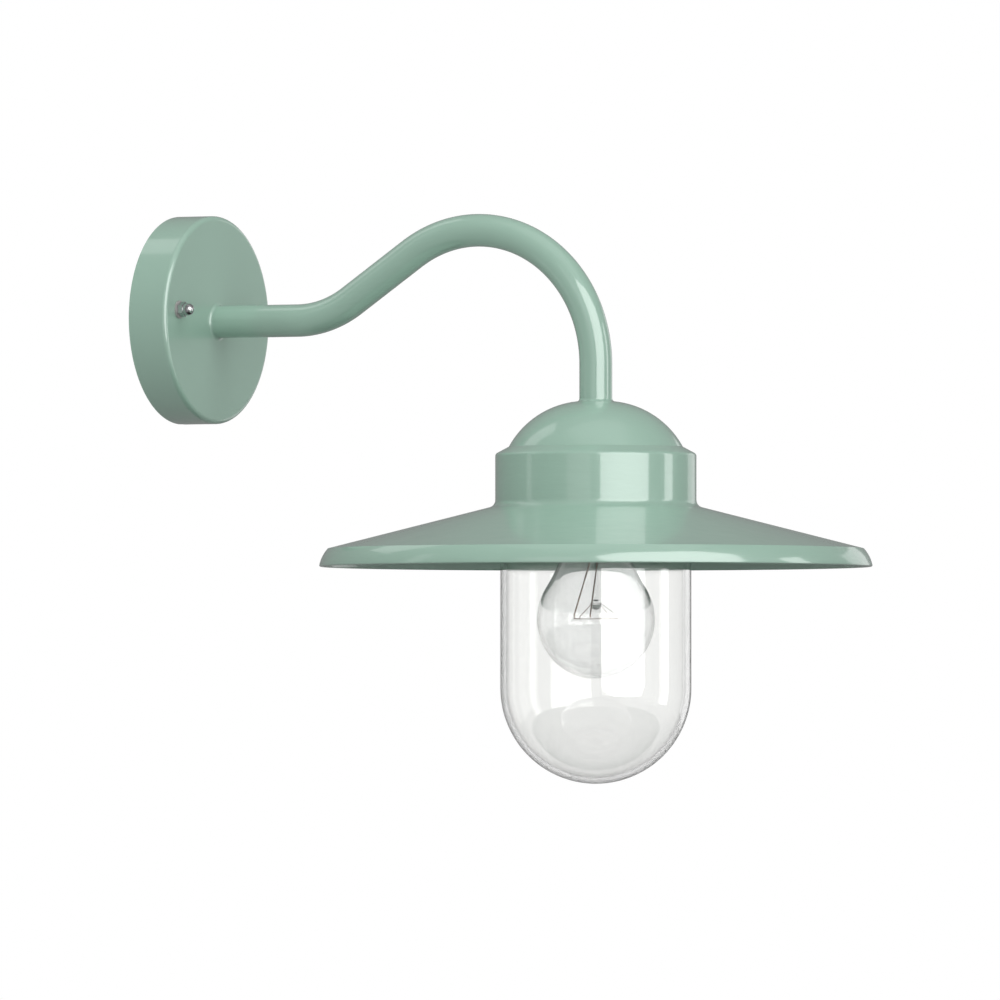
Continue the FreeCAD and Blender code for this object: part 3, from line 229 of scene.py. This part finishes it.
class Recipe(NodeTree):
    # one material, from its shader's plain settings on
    def __init__(self, name, settings):
        self.material = bpy.data.materials.new(name)
        super().__init__(self.material)
        self.surface = self.tree.nodes["Principled BSDF"]
        for socket, value in settings.items():
            self.surface.inputs[socket].default_value = value
        self.place = self.add("ShaderNodeTexCoord", output="Object")

    def drive(self, **sockets):
        for socket, value in sockets.items():
            self.feed(self.surface.inputs[socket.replace("_", " ")], value)

    def noise(self, scale, detail=2.0, stretch=None):
        place = self.place
        if stretch:
            place = self.add("ShaderNodeMapping", None, {"Vector": place, "Scale": stretch})
        return self.add("ShaderNodeTexNoise", None, {"Vector": place, "Scale": scale, "Detail": detail})

    def between(self, field, low, high, start=0.35, end=0.65):
        return self.add("ShaderNodeMapRange", None, {
            "Value": field, "From Min": start, "From Max": end, "To Min": low, "To Max": high})

    def mix(self, factor, first, second):
        return self.add("ShaderNodeMix", {"data_type": "RGBA"}, {
            "Factor": factor, 6: first, 7: second}, output=2)

    def bump(self, height, strength, distance, under=None):
        sockets = {"Height": height, "Strength": strength, "Distance": distance}
        if under:
            sockets["Normal"] = under
        return self.add("ShaderNodeBump", None, sockets)

    def mixShader(self, factor, first, second):
        return self.add("ShaderNodeMixShader", None, {0: factor, 1: first, 2: second})

    def finish(self, shader):
        self.feed(self.tree.nodes["Material Output"].inputs["Surface"], shader)
        return self.material


def tinted(colour, factor):
    return (colour[0] * factor, colour[1] * factor, colour[2] * factor, 1)


# Paint: a hard clear coat over cloudy colour. A bump has its noise, its strength and its depth
enamelLook = {
    "colour": (0.262, 0.405, 0.328), "cloud": 0.012, "cloudScale": 9, "wearScale": 60, "detail": 3,
    "roughness": (0.3, 0.34), "coat": {"Coat Weight": 1.0, "Coat Roughness": 0.085, "Coat IOR": 1.75}}
enamelBumps = {
    "peel": {"scale": 420, "detail": 1, "stretch": None, "strength": 0.35, "depth": 0.00002},
    "rings": {"scale": 620, "detail": 1, "stretch": (0.001, 0.001, 1), "strength": 0.3, "depth": 0.00003},
    "streaks": {"scale": 60, "detail": 3, "stretch": (1, 1, 4), "strength": 0.5, "depth": 0.0005}}


def enamel(name, *bumps):
    look = enamelLook
    recipe = Recipe(name, look["coat"])
    cloud = recipe.between(recipe.noise(look["cloudScale"], look["detail"]), 0, 1)
    wear = recipe.noise(look["wearScale"], look["detail"])
    finish = None
    for bump in bumps:
        shape = enamelBumps[bump]
        height = recipe.noise(shape["scale"], shape["detail"], shape["stretch"])
        finish = recipe.bump(height, shape["strength"], shape["depth"], finish)
    recipe.drive(Base_Color=recipe.mix(cloud, tinted(look["colour"], 1 - look["cloud"]),
                                       tinted(look["colour"], 1 + look["cloud"])),
                 Roughness=recipe.between(wear, *look["roughness"]), Normal=finish)
    return recipe.material


# Metals and plain solids: two shades in clouds, an uneven gloss and a grain. Clouds are so many times
# coarser than the gloss's noise, and the grain so many times finer
speckLook = {"cloudDetail": 3, "glossDetail": 3, "grainDetail": 2, "grainStrength": 0.3}
metalLook = {"shade": 0.93, "coarser": 6, "finer": 4}
solidLook = {"coatRoughness": 0.08, "coarser": 5, "finer": 3}


def speckled(recipe, shades, roughness, spread, scale, grain, coarser, finer):
    look = speckLook
    cloud = recipe.between(recipe.noise(scale / coarser, look["cloudDetail"]), 0, 1)
    gloss = recipe.noise(scale, look["glossDetail"])
    height = recipe.noise(scale * finer, look["grainDetail"])
    recipe.drive(Base_Color=recipe.mix(cloud, *shades),
                 Roughness=recipe.between(gloss, roughness - spread, roughness + spread),
                 Normal=recipe.bump(height, look["grainStrength"], grain))
    return recipe.material


def metal(name, colour, roughness, spread=0.06, scale=180, grain=0.00001, tint=None):
    recipe = Recipe(name, {"Metallic": 1.0})
    shades = (tinted(colour, metalLook["shade"]), tinted(tint or colour, 1))
    return speckled(recipe, shades, roughness, spread, scale, grain, metalLook["coarser"], metalLook["finer"])


def solid(name, colour, roughness, spread=0.06, scale=250, grain=0.00003, coat=0.0, cloud=0.06):
    recipe = Recipe(name, {"Coat Weight": coat, "Coat Roughness": solidLook["coatRoughness"]})
    shades = (tinted(colour, 1 - cloud), tinted(colour, 1 + cloud))
    return speckled(recipe, shades, roughness, spread, scale, grain, solidLook["coarser"], solidLook["finer"])


glassLook = {
    "settings": {"Roughness": 0.0, "Transmission Weight": 1.0, "IOR": 1.5, "Coat Weight": 1.0,
                 "Coat Roughness": 0.0},
    "rippleScale": 14, "rippleDetail": 1, "rippleStrength": 0.25, "blend": 0.5}


def clearGlass(name, colour, ripple, thinShadow, edge, edgeShadeStrength, edgeShadeStart, gloss):
    # painted shade: a grey mixed in where the wall is seen edge on, standing in for the darker room seen
    # through the glass there, and only a thin shadow, so that light reaches what is inside
    look = glassLook
    recipe = Recipe(name, {**look["settings"], "Base Color": (*colour, 1), "Coat IOR": gloss})
    height = recipe.noise(look["rippleScale"], look["rippleDetail"])
    recipe.drive(Normal=recipe.bump(height, look["rippleStrength"], ripple))
    # the painted shade at the edges: edge is its grey, edgeShadeStrength how much of it, edgeShadeStart how
    # near the edge it begins
    facing = recipe.add("ShaderNodeLayerWeight", None, {"Blend": look["blend"]}, output="Facing")
    rim = recipe.between(facing, 0, edgeShadeStrength, edgeShadeStart, 1)
    grey = recipe.add("ShaderNodeBsdfTransparent", None, {"Color": (*edge, 1)})
    edged = recipe.mixShader(rim, Value(recipe, recipe.surface.outputs[0]), grey)
    shadow = recipe.add("ShaderNodeLightPath", output="Is Shadow Ray")
    clear = recipe.add("ShaderNodeBsdfTransparent", None, {"Color": (*thinShadow, 1)})
    return recipe.finish(recipe.mixShader(shadow, edged, clear))


def striped(name, first, second, scale, distortion, edge, wear, roughness):
    recipe = Recipe(name, {})
    wave = recipe.add("ShaderNodeTexWave", {"bands_direction": "DIAGONAL"}, {
        "Vector": recipe.place, "Scale": scale, "Distortion": distortion})
    recipe.drive(Base_Color=recipe.mix(recipe.between(wave, 0, 1, *edge), (*first, 1), (*second, 1)),
                 Roughness=recipe.between(recipe.noise(wear), *roughness))
    return recipe.material


# One finish for each material slot of the record
metalLooks = {
    "zinc_steel": {
        "name": "zincPlate", "colour": (0.62, 0.63, 0.64), "tint": (0.66, 0.65, 0.6), "roughness": 0.32},
    "chrome": {"name": "chromePlate", "colour": (0.6, 0.6, 0.61), "roughness": 0.11, "spread": 0.03},
    "cast_aluminium": {
        "name": "castAluminium", "colour": (0.66, 0.67, 0.68), "roughness": 0.46, "spread": 0.08,
        "scale": 500, "grain": 0.0002},
    "brass": {"name": "plainBrass", "colour": (0.75, 0.56, 0.26), "tint": (0.7, 0.48, 0.2), "roughness": 0.3},
    "cap_metal": {"name": "rolledCapMetal", "colour": (0.72, 0.71, 0.68), "roughness": 0.3},
    "solder": {
        "name": "dullSolder", "colour": (0.5, 0.5, 0.51), "roughness": 0.5, "spread": 0.1, "scale": 600,
        "grain": 0.0001},
    "fine_wire": {
        "name": "drawnWire", "colour": (0.3, 0.27, 0.25), "tint": (0.36, 0.26, 0.2), "roughness": 0.35}}
solidLooks = {
    "porcelain": {
        "name": "glazedPorcelain", "colour": (0.82, 0.81, 0.77), "roughness": 0.25, "spread": 0.05,
        "scale": 120, "grain": 0.00004, "coat": 0.6, "cloud": 0.02},
    "black_glass": {
        "name": "blackGlass", "colour": (0.02, 0.02, 0.022), "roughness": 0.12, "spread": 0.04,
        "scale": 200, "grain": 0.00001, "coat": 0.5},
    "black_rubber": {
        "name": "blackRubber", "colour": (0.028, 0.028, 0.028), "roughness": 0.75, "spread": 0.1,
        "scale": 600, "grain": 0.0001},
    "white_nylon": {
        "name": "paleNylon", "colour": (0.78, 0.78, 0.75), "roughness": 0.5, "spread": 0.08, "scale": 400,
        "grain": 0.00005},
    "brown_core": {"name": "brownInsulation", "colour": (0.13, 0.05, 0.025), "roughness": 0.42},
    "blue_core": {"name": "blueInsulation", "colour": (0.03, 0.12, 0.4), "roughness": 0.42}}
# in each glass, edge is the grey of the painted shade where the wall is seen edge on
glassLooks = {
    "clear_glass": {
        "name": "jarGlass", "colour": (0.963, 0.966, 0.956), "ripple": 0.00003,
        "thinShadow": (0.93, 0.95, 0.94), "edge": (0.6, 0.61, 0.6), "edgeShadeStrength": 0.35, "edgeShadeStart": 0.7,
        "gloss": 1.42},
    "bulb_clear": {
        "name": "bulbGlass", "colour": (0.985, 0.99, 0.99), "ripple": 0.0001,
        "thinShadow": (0.96, 0.97, 0.97), "edge": (0.3, 0.32, 0.31), "edgeShadeStrength": 0.6,
        "edgeShadeStart": 0.72, "gloss": 1.4}}
stripedLooks = {
    "earth_core": {
        "name": "earthInsulation", "first": (0.62, 0.6, 0.04), "second": (0.03, 0.3, 0.08), "scale": 90,
        "distortion": 0.4, "edge": (0.55, 0.6), "wear": 300, "roughness": (0.36, 0.44)}}
# the seal washers' finish: the white nylon made darker all over
darkerNylon = {**solidLooks["white_nylon"], "name": "darkerNylon", "colour": (0.3, 0.3, 0.29)}

finishes = {"green_paint": enamel("greenEnamel", "peel")}
for makeFinish, looks in ((metal, metalLooks), (solid, solidLooks), (clearGlass, glassLooks),
                          (striped, stripedLooks)):
    finishes.update({slot: makeFinish(**look) for slot, look in looks.items()})


def dress(piece, slot, material=None):
    piece.data.materials.clear()
    piece.data.materials.append(material or finishes[slot])


def mount(piece, body, slot, *stoodFor, material=None):
    dress(piece, slot, material)
    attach(piece, body)
    if stoodFor:
        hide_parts(*stoodFor)


for part in frame["record"]["subparts"]:
    dress(nodes[part["node"]], part["material_slot"])
washerNylon = solid(**darkerNylon)
for washer in ("seal_washer_left", "seal_washer_right"):
    dress(nodes[washer], "white_nylon", washerNylon)
print("finishes on", len(nodes), "nodes")


# Shade: dome, shoulder, band, cone and lip in one outline, spun and given its wall
shadeSizes = {
    "hole": 0.0051, "domeFoot": 0.0456, "domeHeight": 0.024, "domeArc": 0.046, "shoulderDrop": 0.0038,
    "shoulderRound": 0.002, "band": 0.0527, "bandHeight": 0.0272, "footRound": 0.004, "crease": 0.1404,
    "lipHeight": 0.0094, "lipArc": 0.019, "wall": 0.0015, "rimRound": 0.0006, "sides": 224,
    "domeSteps": 20, "lipSteps": 8, "rimSteps": 3, "sharpEdge": 60, "smoothTo": 30}


def spunShade():
    size = shadeSizes
    flat = size["domeFoot"] - math.sqrt(size["domeArc"] ** 2 - (size["domeArc"] - size["domeHeight"]) ** 2)
    foot = (size["domeFoot"], domeTop - size["domeHeight"])
    shoulder = (size["band"], foot[1] - size["shoulderDrop"], size["shoulderRound"])
    bandFoot = (size["band"], shoulder[1] - size["bandHeight"], size["footRound"])
    crease = (size["crease"], rimLevel + size["lipHeight"])
    outline = [(size["hole"], domeTop)] + bulge((flat, domeTop), foot, size["domeArc"], size["domeSteps"])[1:]
    outline += rounded([foot, shoulder, bandFoot, crease])[1:-1]
    outline += bulge(crease, (rimRadius, rimLevel), size["lipArc"], size["lipSteps"])
    piece = turned(outline, size["sides"])
    wall = piece.modifiers.new("wall", "SOLIDIFY")
    wall.thickness, wall.offset, wall.use_even_offset = size["wall"], -1, True
    edge = piece.modifiers.new("rim", "BEVEL")
    edge.width, edge.segments = size["rimRound"], size["rimSteps"]
    edge.limit_method, edge.angle_limit = "ANGLE", math.radians(size["sharpEdge"])
    applyAll(piece)
    return smooth(settle(piece, "spunShade", (lampX, 0, 0)), size["smoothTo"])


mount(spunShade(), "lamp", "green_paint", "shade", material=enamel("spunEnamel", "peel", "rings", "streaks"))
print("shade spun")


# Arm: drawn off the plate, round two bends and down to the crown, with a weld bead at each end
armSizes = {
    "tube": 0.0086, "wall": 0.0015, "run": 0.0713, "lowBend": 0.0597, "rise": 33.4, "slope": 0.044064,
    "highBend": 0.0713, "sides": 72, "lowSteps": 24, "highSteps": 60, "smoothTo": 40}
beadSizes = {"reach": 0.0016, "overlap": 0.0004, "sunk": 0.0003, "steps": 8, "smoothTo": 35}


def bentArm():
    size = armSizes
    rise = math.radians(size["rise"])
    startPiece()
    bpy.ops.mesh.primitive_circle_add(vertices=size["sides"], radius=size["tube"],
                                      location=(plateFront, 0, armAxis), rotation=(0, math.pi / 2, 0))
    piece = bpy.context.object
    bpy.ops.object.transform_apply(location=True, rotation=True, scale=True)
    bpy.ops.object.mode_set(mode="EDIT")
    bpy.ops.mesh.select_all(action="SELECT")
    bpy.ops.mesh.extrude_region_move(TRANSFORM_OT_translate={"value": (size["run"] - plateFront, 0, 0)})
    bpy.ops.mesh.spin(steps=size["lowSteps"], angle=rise,
                      center=(size["run"], 0, armAxis + size["lowBend"]), axis=(0, 1, 0))
    along = Vector((math.cos(rise), 0, math.sin(rise)))
    bpy.ops.mesh.extrude_region_move(TRANSFORM_OT_translate={"value": along * size["slope"]})
    foot = Vector((size["run"] + size["lowBend"] * math.sin(rise), 0,
                   armAxis + size["lowBend"] * (1 - math.cos(rise))))
    middle = foot + along * size["slope"] + Vector((math.sin(rise), 0, -math.cos(rise))) * size["highBend"]
    bpy.ops.mesh.spin(steps=size["highSteps"], angle=rise + math.pi / 2, center=middle, axis=(0, -1, 0))
    bpy.ops.mesh.extrude_region_move(TRANSFORM_OT_translate={"value": (0, 0, domeTop - middle.z)})
    closeMesh()
    wall = piece.modifiers.new("wall", "SOLIDIFY")
    wall.thickness, wall.offset = size["wall"], -1
    applyAll(piece)
    return smooth(settle(piece, "bentArm"), size["smoothTo"])


def weldBead(name, spot, tilt=(0, 0, 0)):
    # a hollow bead round the tube, its inner edge inside the wall
    size, tube = beadSizes, armSizes["tube"]
    reach, foot, inside = size["reach"], tube + size["reach"], tube - size["overlap"]
    outline = [(inside, reach)] + arc((foot, reach), reach, 180, 270, size["steps"])
    outline += [(foot, 0), (inside, 0)]
    bead = turned(outline, armSizes["sides"], closed=True)
    return smooth(settle(bead, name, spot, tilt), size["smoothTo"])


mount(bentArm(), "lamp", "green_paint", "arm_tube")
mount(weldBead("plateBead", (plateFront, 0, armAxis), (0, math.pi / 2, 0)), "lamp", "green_paint")
mount(weldBead("domeBead", (lampX, 0, domeTop - beadSizes["sunk"])), "lamp", "green_paint")
print("arm bent")


# Jar: outside, foot and inside in one closed outline, with the screw thread on its neck
jarSizes = {
    "radius": 0.05, "wall": 0.003, "neck": 0.04225, "neckHeight": 0.0165, "shoulderRound": 0.0025,
    "lipRound": 0.0011, "pitch": 0.004, "ridge": 0.0005, "threadFoot": 0.0015, "threadHead": 0.0025,
    "sharpness": 3, "skin": 0.0002, "sides": 320, "edgeSteps": 5, "neckRows": 48, "wallRows": 24,
    "footSteps": 64, "smoothTo": 50}


def glassJar():
    size = jarSizes
    jarLow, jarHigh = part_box("glass_jar")
    outside, wall, neck, top = size["radius"], size["wall"], size["neck"], jarHigh.z
    shoulder, equator = top - size["neckHeight"], jarLow.z + size["radius"]
    edge = rounded([(neck - wall, top, size["lipRound"]), (neck, top, size["lipRound"]), (neck, shoulder)],
                   size["edgeSteps"])
    outline = edge[:-1] + rows(edge[-2], (neck, shoulder), size["neckRows"])[1:-1]
    outline += rounded([(neck, top), (neck, shoulder), (outside, shoulder, size["shoulderRound"]),
                        (outside, equator)])[1:-1]
    outline += rows((outside, shoulder - size["shoulderRound"]), (outside, equator), size["wallRows"])[1:-1]
    outline += arc((0, equator), outside, 0, -90, size["footSteps"])
    outline += arc((0, equator), outside - wall, -90, 0, size["footSteps"])
    crown = rounded([(outside - wall, equator), (outside - wall, shoulder - wall, size["lipRound"]),
                     (neck - wall, shoulder - wall, size["lipRound"]), (neck - wall, top)])[1:-1]
    outline += rows((outside - wall, equator), crown[0], size["wallRows"])[1:-1] + crown
    piece = turned(outline, size["sides"], closed=True)
    roll(piece, shoulder + size["threadFoot"], top - size["threadHead"], size["pitch"], size["ridge"],
         sharpness=size["sharpness"], beyond=neck - size["skin"])
    return smooth(settle(piece, "screwedJar", (lampX, 0, 0)), size["smoothTo"])


mount(glassJar(), "jar", "clear_glass", "glass_jar")
print("jar blown")


# Bulb: the rolled screw cap, and the shell that it screws into, share one thread
capSizes = {
    "radius": 0.013, "wall": 0.0004, "flare": 0.0143, "flareHeight": 0.004, "pitch": 0.003629,
    "depth": 0.0008, "rows": 100, "shellRadius": 0.0135, "shellWall": 0.0009, "flange": 0.0095,
    "shellRows": 90, "skin": 0.0001, "sides": 96, "smoothTo": 50}


def rolledCap():
    size = capSizes
    low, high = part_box("bulb_cap")
    radius, wall, waist = size["radius"], size["wall"], low.z + size["flareHeight"]
    outline = rows((radius, high.z), (radius, waist), size["rows"])
    outline += [(size["flare"], low.z), (size["flare"] - wall, low.z)]
    outline += rows((radius - wall, waist), (radius - wall, high.z), size["rows"])
    piece = roll(turned(outline, size["sides"], closed=True), waist, high.z, size["pitch"], size["depth"],
                 sunk=1)
    return smooth(settle(piece, "rolledCap", (lampX, 0, 0)), size["smoothTo"])


def threadedShell():
    size = capSizes
    low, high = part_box("screw_shell")
    inside, wall = size["shellRadius"], size["shellWall"]
    outline = rows((inside + wall, low.z), (inside + wall, high.z), size["shellRows"])
    outline += [(size["flange"], high.z), (size["flange"], high.z - wall)]
    outline += rows((inside, high.z - wall), (inside, low.z), size["shellRows"])
    piece = roll(turned(outline, size["sides"], closed=True), low.z, high.z - wall, size["pitch"],
                 size["depth"], sunk=1, beyond=inside - size["skin"])
    return smooth(settle(piece, "threadedShell", (lampX, 0, 0)), size["smoothTo"])


mount(rolledCap(), "bulb", "cap_metal", "bulb_cap")
mount(threadedShell(), "lamp", "brass", "screw_shell")


# Filament: one fine coil, laid round from lead to lead over the hooks, with a gap between its two ends
filamentSizes = {
    "ring": 0.0128, "gap": 48, "hooks": 3, "angle": 82, "overHook": 0.0016, "coil": 0.00028, "wire": 0.00007,
    "pitch": 0.0004, "turns": 158, "turnSteps": 12, "sides": 6, "smoothTo": 60}


def coiledFilament():
    size = filamentSizes
    level = sum(corner.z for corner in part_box("bulb_filament")) / 2
    startPiece()
    bpy.ops.curve.primitive_bezier_curve_add()
    path = bpy.context.object
    spline = path.data.splines[0]
    spline.bezier_points.add(size["hooks"])
    start = 180 - size["gap"] / 2
    stops = arc((0, 0), size["ring"], start, -start, size["hooks"] + 1)
    for point, (x, y) in zip(spline.bezier_points, stops):
        along = Vector((y, -x, 0)).normalized() * size["overHook"]
        point.handle_left_type = point.handle_right_type = "FREE"
        point.co = (x, y, 0)
        point.handle_left, point.handle_right = point.co - along, point.co + along
    startPiece()
    bpy.ops.mesh.primitive_circle_add(vertices=size["sides"], radius=size["wire"],
                                      location=(size["coil"], 0, 0), rotation=(math.pi / 2, 0, 0))
    piece = bpy.context.object
    bpy.ops.object.transform_apply(location=True, rotation=True, scale=True)
    winding = piece.modifiers.new("winding", "SCREW")
    winding.axis, winding.steps, winding.render_steps = "Z", size["turnSteps"], size["turnSteps"]
    winding.iterations, winding.screw_offset = size["turns"], size["pitch"]
    bend = piece.modifiers.new("bend", "CURVE")
    bend.object, bend.deform_axis = path, "POS_Z"
    applyAll(piece)
    bpy.data.objects.remove(path)
    bpy.ops.object.mode_set(mode="EDIT")
    bpy.ops.mesh.select_all(action="SELECT")
    bpy.ops.mesh.fill_holes(sides=size["sides"])
    closeMesh()
    turn = (0, 0, math.radians(size["angle"]))
    return smooth(settle(piece, "coiledFilament", (lampX, 0, level), turn), size["smoothTo"])


mount(coiledFilament(), "bulb", "fine_wire", "bulb_filament")
print("bulb fitted")


# Studs: threaded all along, for the cap nuts and lock nuts
studSizes = {
    "radius": 0.002, "pitch": 0.0007, "depth": 0.0003, "bevel": 0.0005, "threadFoot": 0.0001,
    "fade": 0.0004, "rows": 320, "sides": 32, "smoothTo": 50}


def threadedStuds():
    size = studSizes
    low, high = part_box("bracket_studs")
    radius, length = size["radius"], high.x - low.x
    outline = [(0, 0)] + rows((radius, 0), (radius, length - size["bevel"]), size["rows"])
    outline += [(radius - size["bevel"], length), (0, length)]
    first = roll(turned(outline, size["sides"]), size["threadFoot"], length, size["pitch"], size["depth"],
                 sunk=1, fade=size["fade"])
    settle(first, "threadedStuds", (low.x, low.y + radius, low.z + radius), (0, math.pi / 2, 0))
    smooth(first, size["smoothTo"])
    bpy.ops.object.duplicate()
    second = bpy.context.object
    settle(second, "secondStud", (0, high.y - low.y - 2 * radius, 0))
    first.select_set(True)
    bpy.context.view_layer.objects.active = first
    bpy.ops.object.join()
    return first


mount(threadedStuds(), "lamp", "zinc_steel", "bracket_studs")
print("studs threaded")


# Camera: far off with a long lens, a little below the shade, as in the photograph
cameraSizes = {
    "azimuth": 29.2, "elevation": -1.1, "distance": 8.0, "target": (0.1943, -0.0005, -0.0972), "lens": 548,
    "sensor": 36, "reach": 60}


def towards(side, rise):
    # the direction of something that stands so many degrees round and up
    turn, rise = math.radians(side), math.radians(rise)
    return Vector((math.sin(turn) * math.cos(rise), -math.cos(turn) * math.cos(rise), math.sin(rise)))


def addCamera():
    size = cameraSizes
    back = towards(size["azimuth"], size["elevation"])
    bpy.ops.object.camera_add(location=Vector(size["target"]) + back * size["distance"],
                              rotation=back.to_track_quat("Z", "Y").to_euler())
    camera = bpy.context.object
    camera.name = "photoCamera"
    camera.data.lens, camera.data.sensor_width = size["lens"], size["sensor"]
    camera.data.clip_end = size["reach"]
    bpy.context.scene.camera = camera


addCamera()


# Light: panels round the lamp, each named by where it stands as the camera sees it. The lamp in a panel
# lights the paint, and its lit cloth, seen in gloss and through glass, is the shine
panels = {
    "softbox": {"side": 34, "rise": 18, "away": 1.5, "size": (1.6, 1.8), "glow": 1.0, "shine": 3.3},
    "frontPanel": {"side": -18, "rise": 8, "away": 1.6, "size": (0.75, 1.7), "glow": 1.45, "shine": 0.65},
    "edgeStrip": {"side": 90, "rise": 4, "away": 1.6, "size": (0.35, 1.2), "glow": 1.0, "shine": 2.6},
    "sidePanel": {"side": 141, "rise": 2, "away": 1.6, "size": (0.75, 1.0), "glow": 0.8, "shine": 0.9},
    "leftStrip": {"side": -81, "rise": 10, "away": 1.6, "size": (0.2, 2.0), "glow": 1.6, "shine": 0.75},
    "backPanel": {"side": -117, "rise": 45, "away": 1.6, "size": (0.5, 0.8), "glow": 0.4, "shine": 0.95},
    "topPanel": {"side": 20, "rise": 78, "away": 1.6, "size": (1.5, 1.1), "glow": 2.2, "shine": 0.45},
}
panelCentre = Vector((0.2, 0, -0.1))
tentLook = {"radius": 1.8, "shine": 0.25, "segments": 48, "rings": 24}  # grey where no panel stands
flagLook = {"side": 1.0, "spot": (0.32, 0, -0.7), "shine": 0.03}  # a dark board under the lamp


def board(size, spot, facing=(0, 0, 0), parts=4):
    startPiece()
    bpy.ops.mesh.primitive_grid_add(x_subdivisions=parts, y_subdivisions=parts, size=1, location=spot,
                                    rotation=facing)
    piece = bpy.context.object
    piece.scale = (*size, 1)
    bpy.ops.object.transform_apply(location=True, rotation=True, scale=True)
    return piece


def shineOnly(piece, name, shine):
    # a lit or grey surface that only gloss and glass see, so that it neither lights the paint nor blocks
    # a lamp
    recipe = Recipe(name, {})
    recipe.tree.nodes.remove(recipe.surface)
    glow = recipe.add("ShaderNodeEmission", None, {"Color": (1, 1, 1, 1), "Strength": shine})
    piece.name = name
    piece.data.materials.append(recipe.finish(glow))
    piece.visible_camera = piece.visible_diffuse = piece.visible_shadow = False
    piece.visible_volume_scatter = False
    return piece


def addPanel(name, look):
    back = towards(cameraSizes["azimuth"] + look["side"], look["rise"])
    spot = panelCentre + back * look["away"]
    facing = back.to_track_quat("Z", "Y").to_euler()
    bpy.ops.object.light_add(type="AREA", location=spot, rotation=facing)
    lamp = bpy.context.object
    lamp.name = name
    lamp.data.shape, lamp.data.size, lamp.data.size_y = "RECTANGLE", *look["size"]
    lamp.data.energy = look["glow"] * math.pi * look["size"][0] * look["size"][1]
    lamp.visible_camera = lamp.visible_transmission = lamp.visible_glossy = False
    shineOnly(board(look["size"], spot, facing), name + "Cloth", look["shine"])


for name, look in panels.items():
    addPanel(name, look)


def addTent():
    startPiece()
    bpy.ops.mesh.primitive_uv_sphere_add(segments=tentLook["segments"], ring_count=tentLook["rings"],
                                         radius=tentLook["radius"], location=panelCentre)
    tent = shineOnly(bpy.context.object, "greyTent", tentLook["shine"])
    tent.visible_transmission = False


def addFlag():
    side = flagLook["side"]
    flag = shineOnly(board((side, side), flagLook["spot"]), "darkFlag", flagLook["shine"])
    flag.visible_transmission = False
    flag.visible_diffuse = True


addTent()
addFlag()


# World and floor: white to the lens, a plain fill for the paint
stageLooks = {
    "fill": 0.62, "white": 1.0, "floorSide": 30, "floorLevel": -2.0, "floorGrey": 0.8, "floorCloud": 1.02,
    "cloudScale": 3, "floorRoughness": 0.7}


def addWorld():
    world = bpy.data.worlds.new("whiteRoom")
    nodeTree = NodeTree(world)
    bpy.context.scene.world = world
    fill, backdrop = stageLooks["fill"], nodeTree.tree.nodes["Background"]
    backdrop.inputs["Color"].default_value = (1, 1, 1, 1)
    nodeTree.feed(backdrop.inputs["Strength"], fill + (1 - fill) * nodeTree.seenByLens())


def addFloor():
    look = stageLooks
    side, grey = look["floorSide"], (look["floorGrey"],) * 3
    floor = board((side, side), (0, 0, look["floorLevel"]))
    floor.name = "paleFloor"
    recipe = Recipe("paleFloor", {"Roughness": look["floorRoughness"]})
    cloud = recipe.between(recipe.noise(look["cloudScale"]), 0, 1)
    recipe.drive(Base_Color=recipe.mix(cloud, tinted(grey, 1), tinted(grey, look["floorCloud"])))
    white = recipe.add("ShaderNodeEmission", None, {"Color": (1, 1, 1, 1), "Strength": look["white"]})
    seen = recipe.mixShader(recipe.seenByLens(), Value(recipe, recipe.surface.outputs[0]), white)
    under = recipe.add("ShaderNodeNewGeometry", output="Backfacing")  # nothing to see from below
    clear = recipe.add("ShaderNodeBsdfTransparent")
    floor.data.materials.append(recipe.finish(recipe.mixShader(under, seen, clear)))


addWorld()
addFloor()
bpy.context.scene.view_settings.view_transform = "Standard"
print("camera, light and floor set")
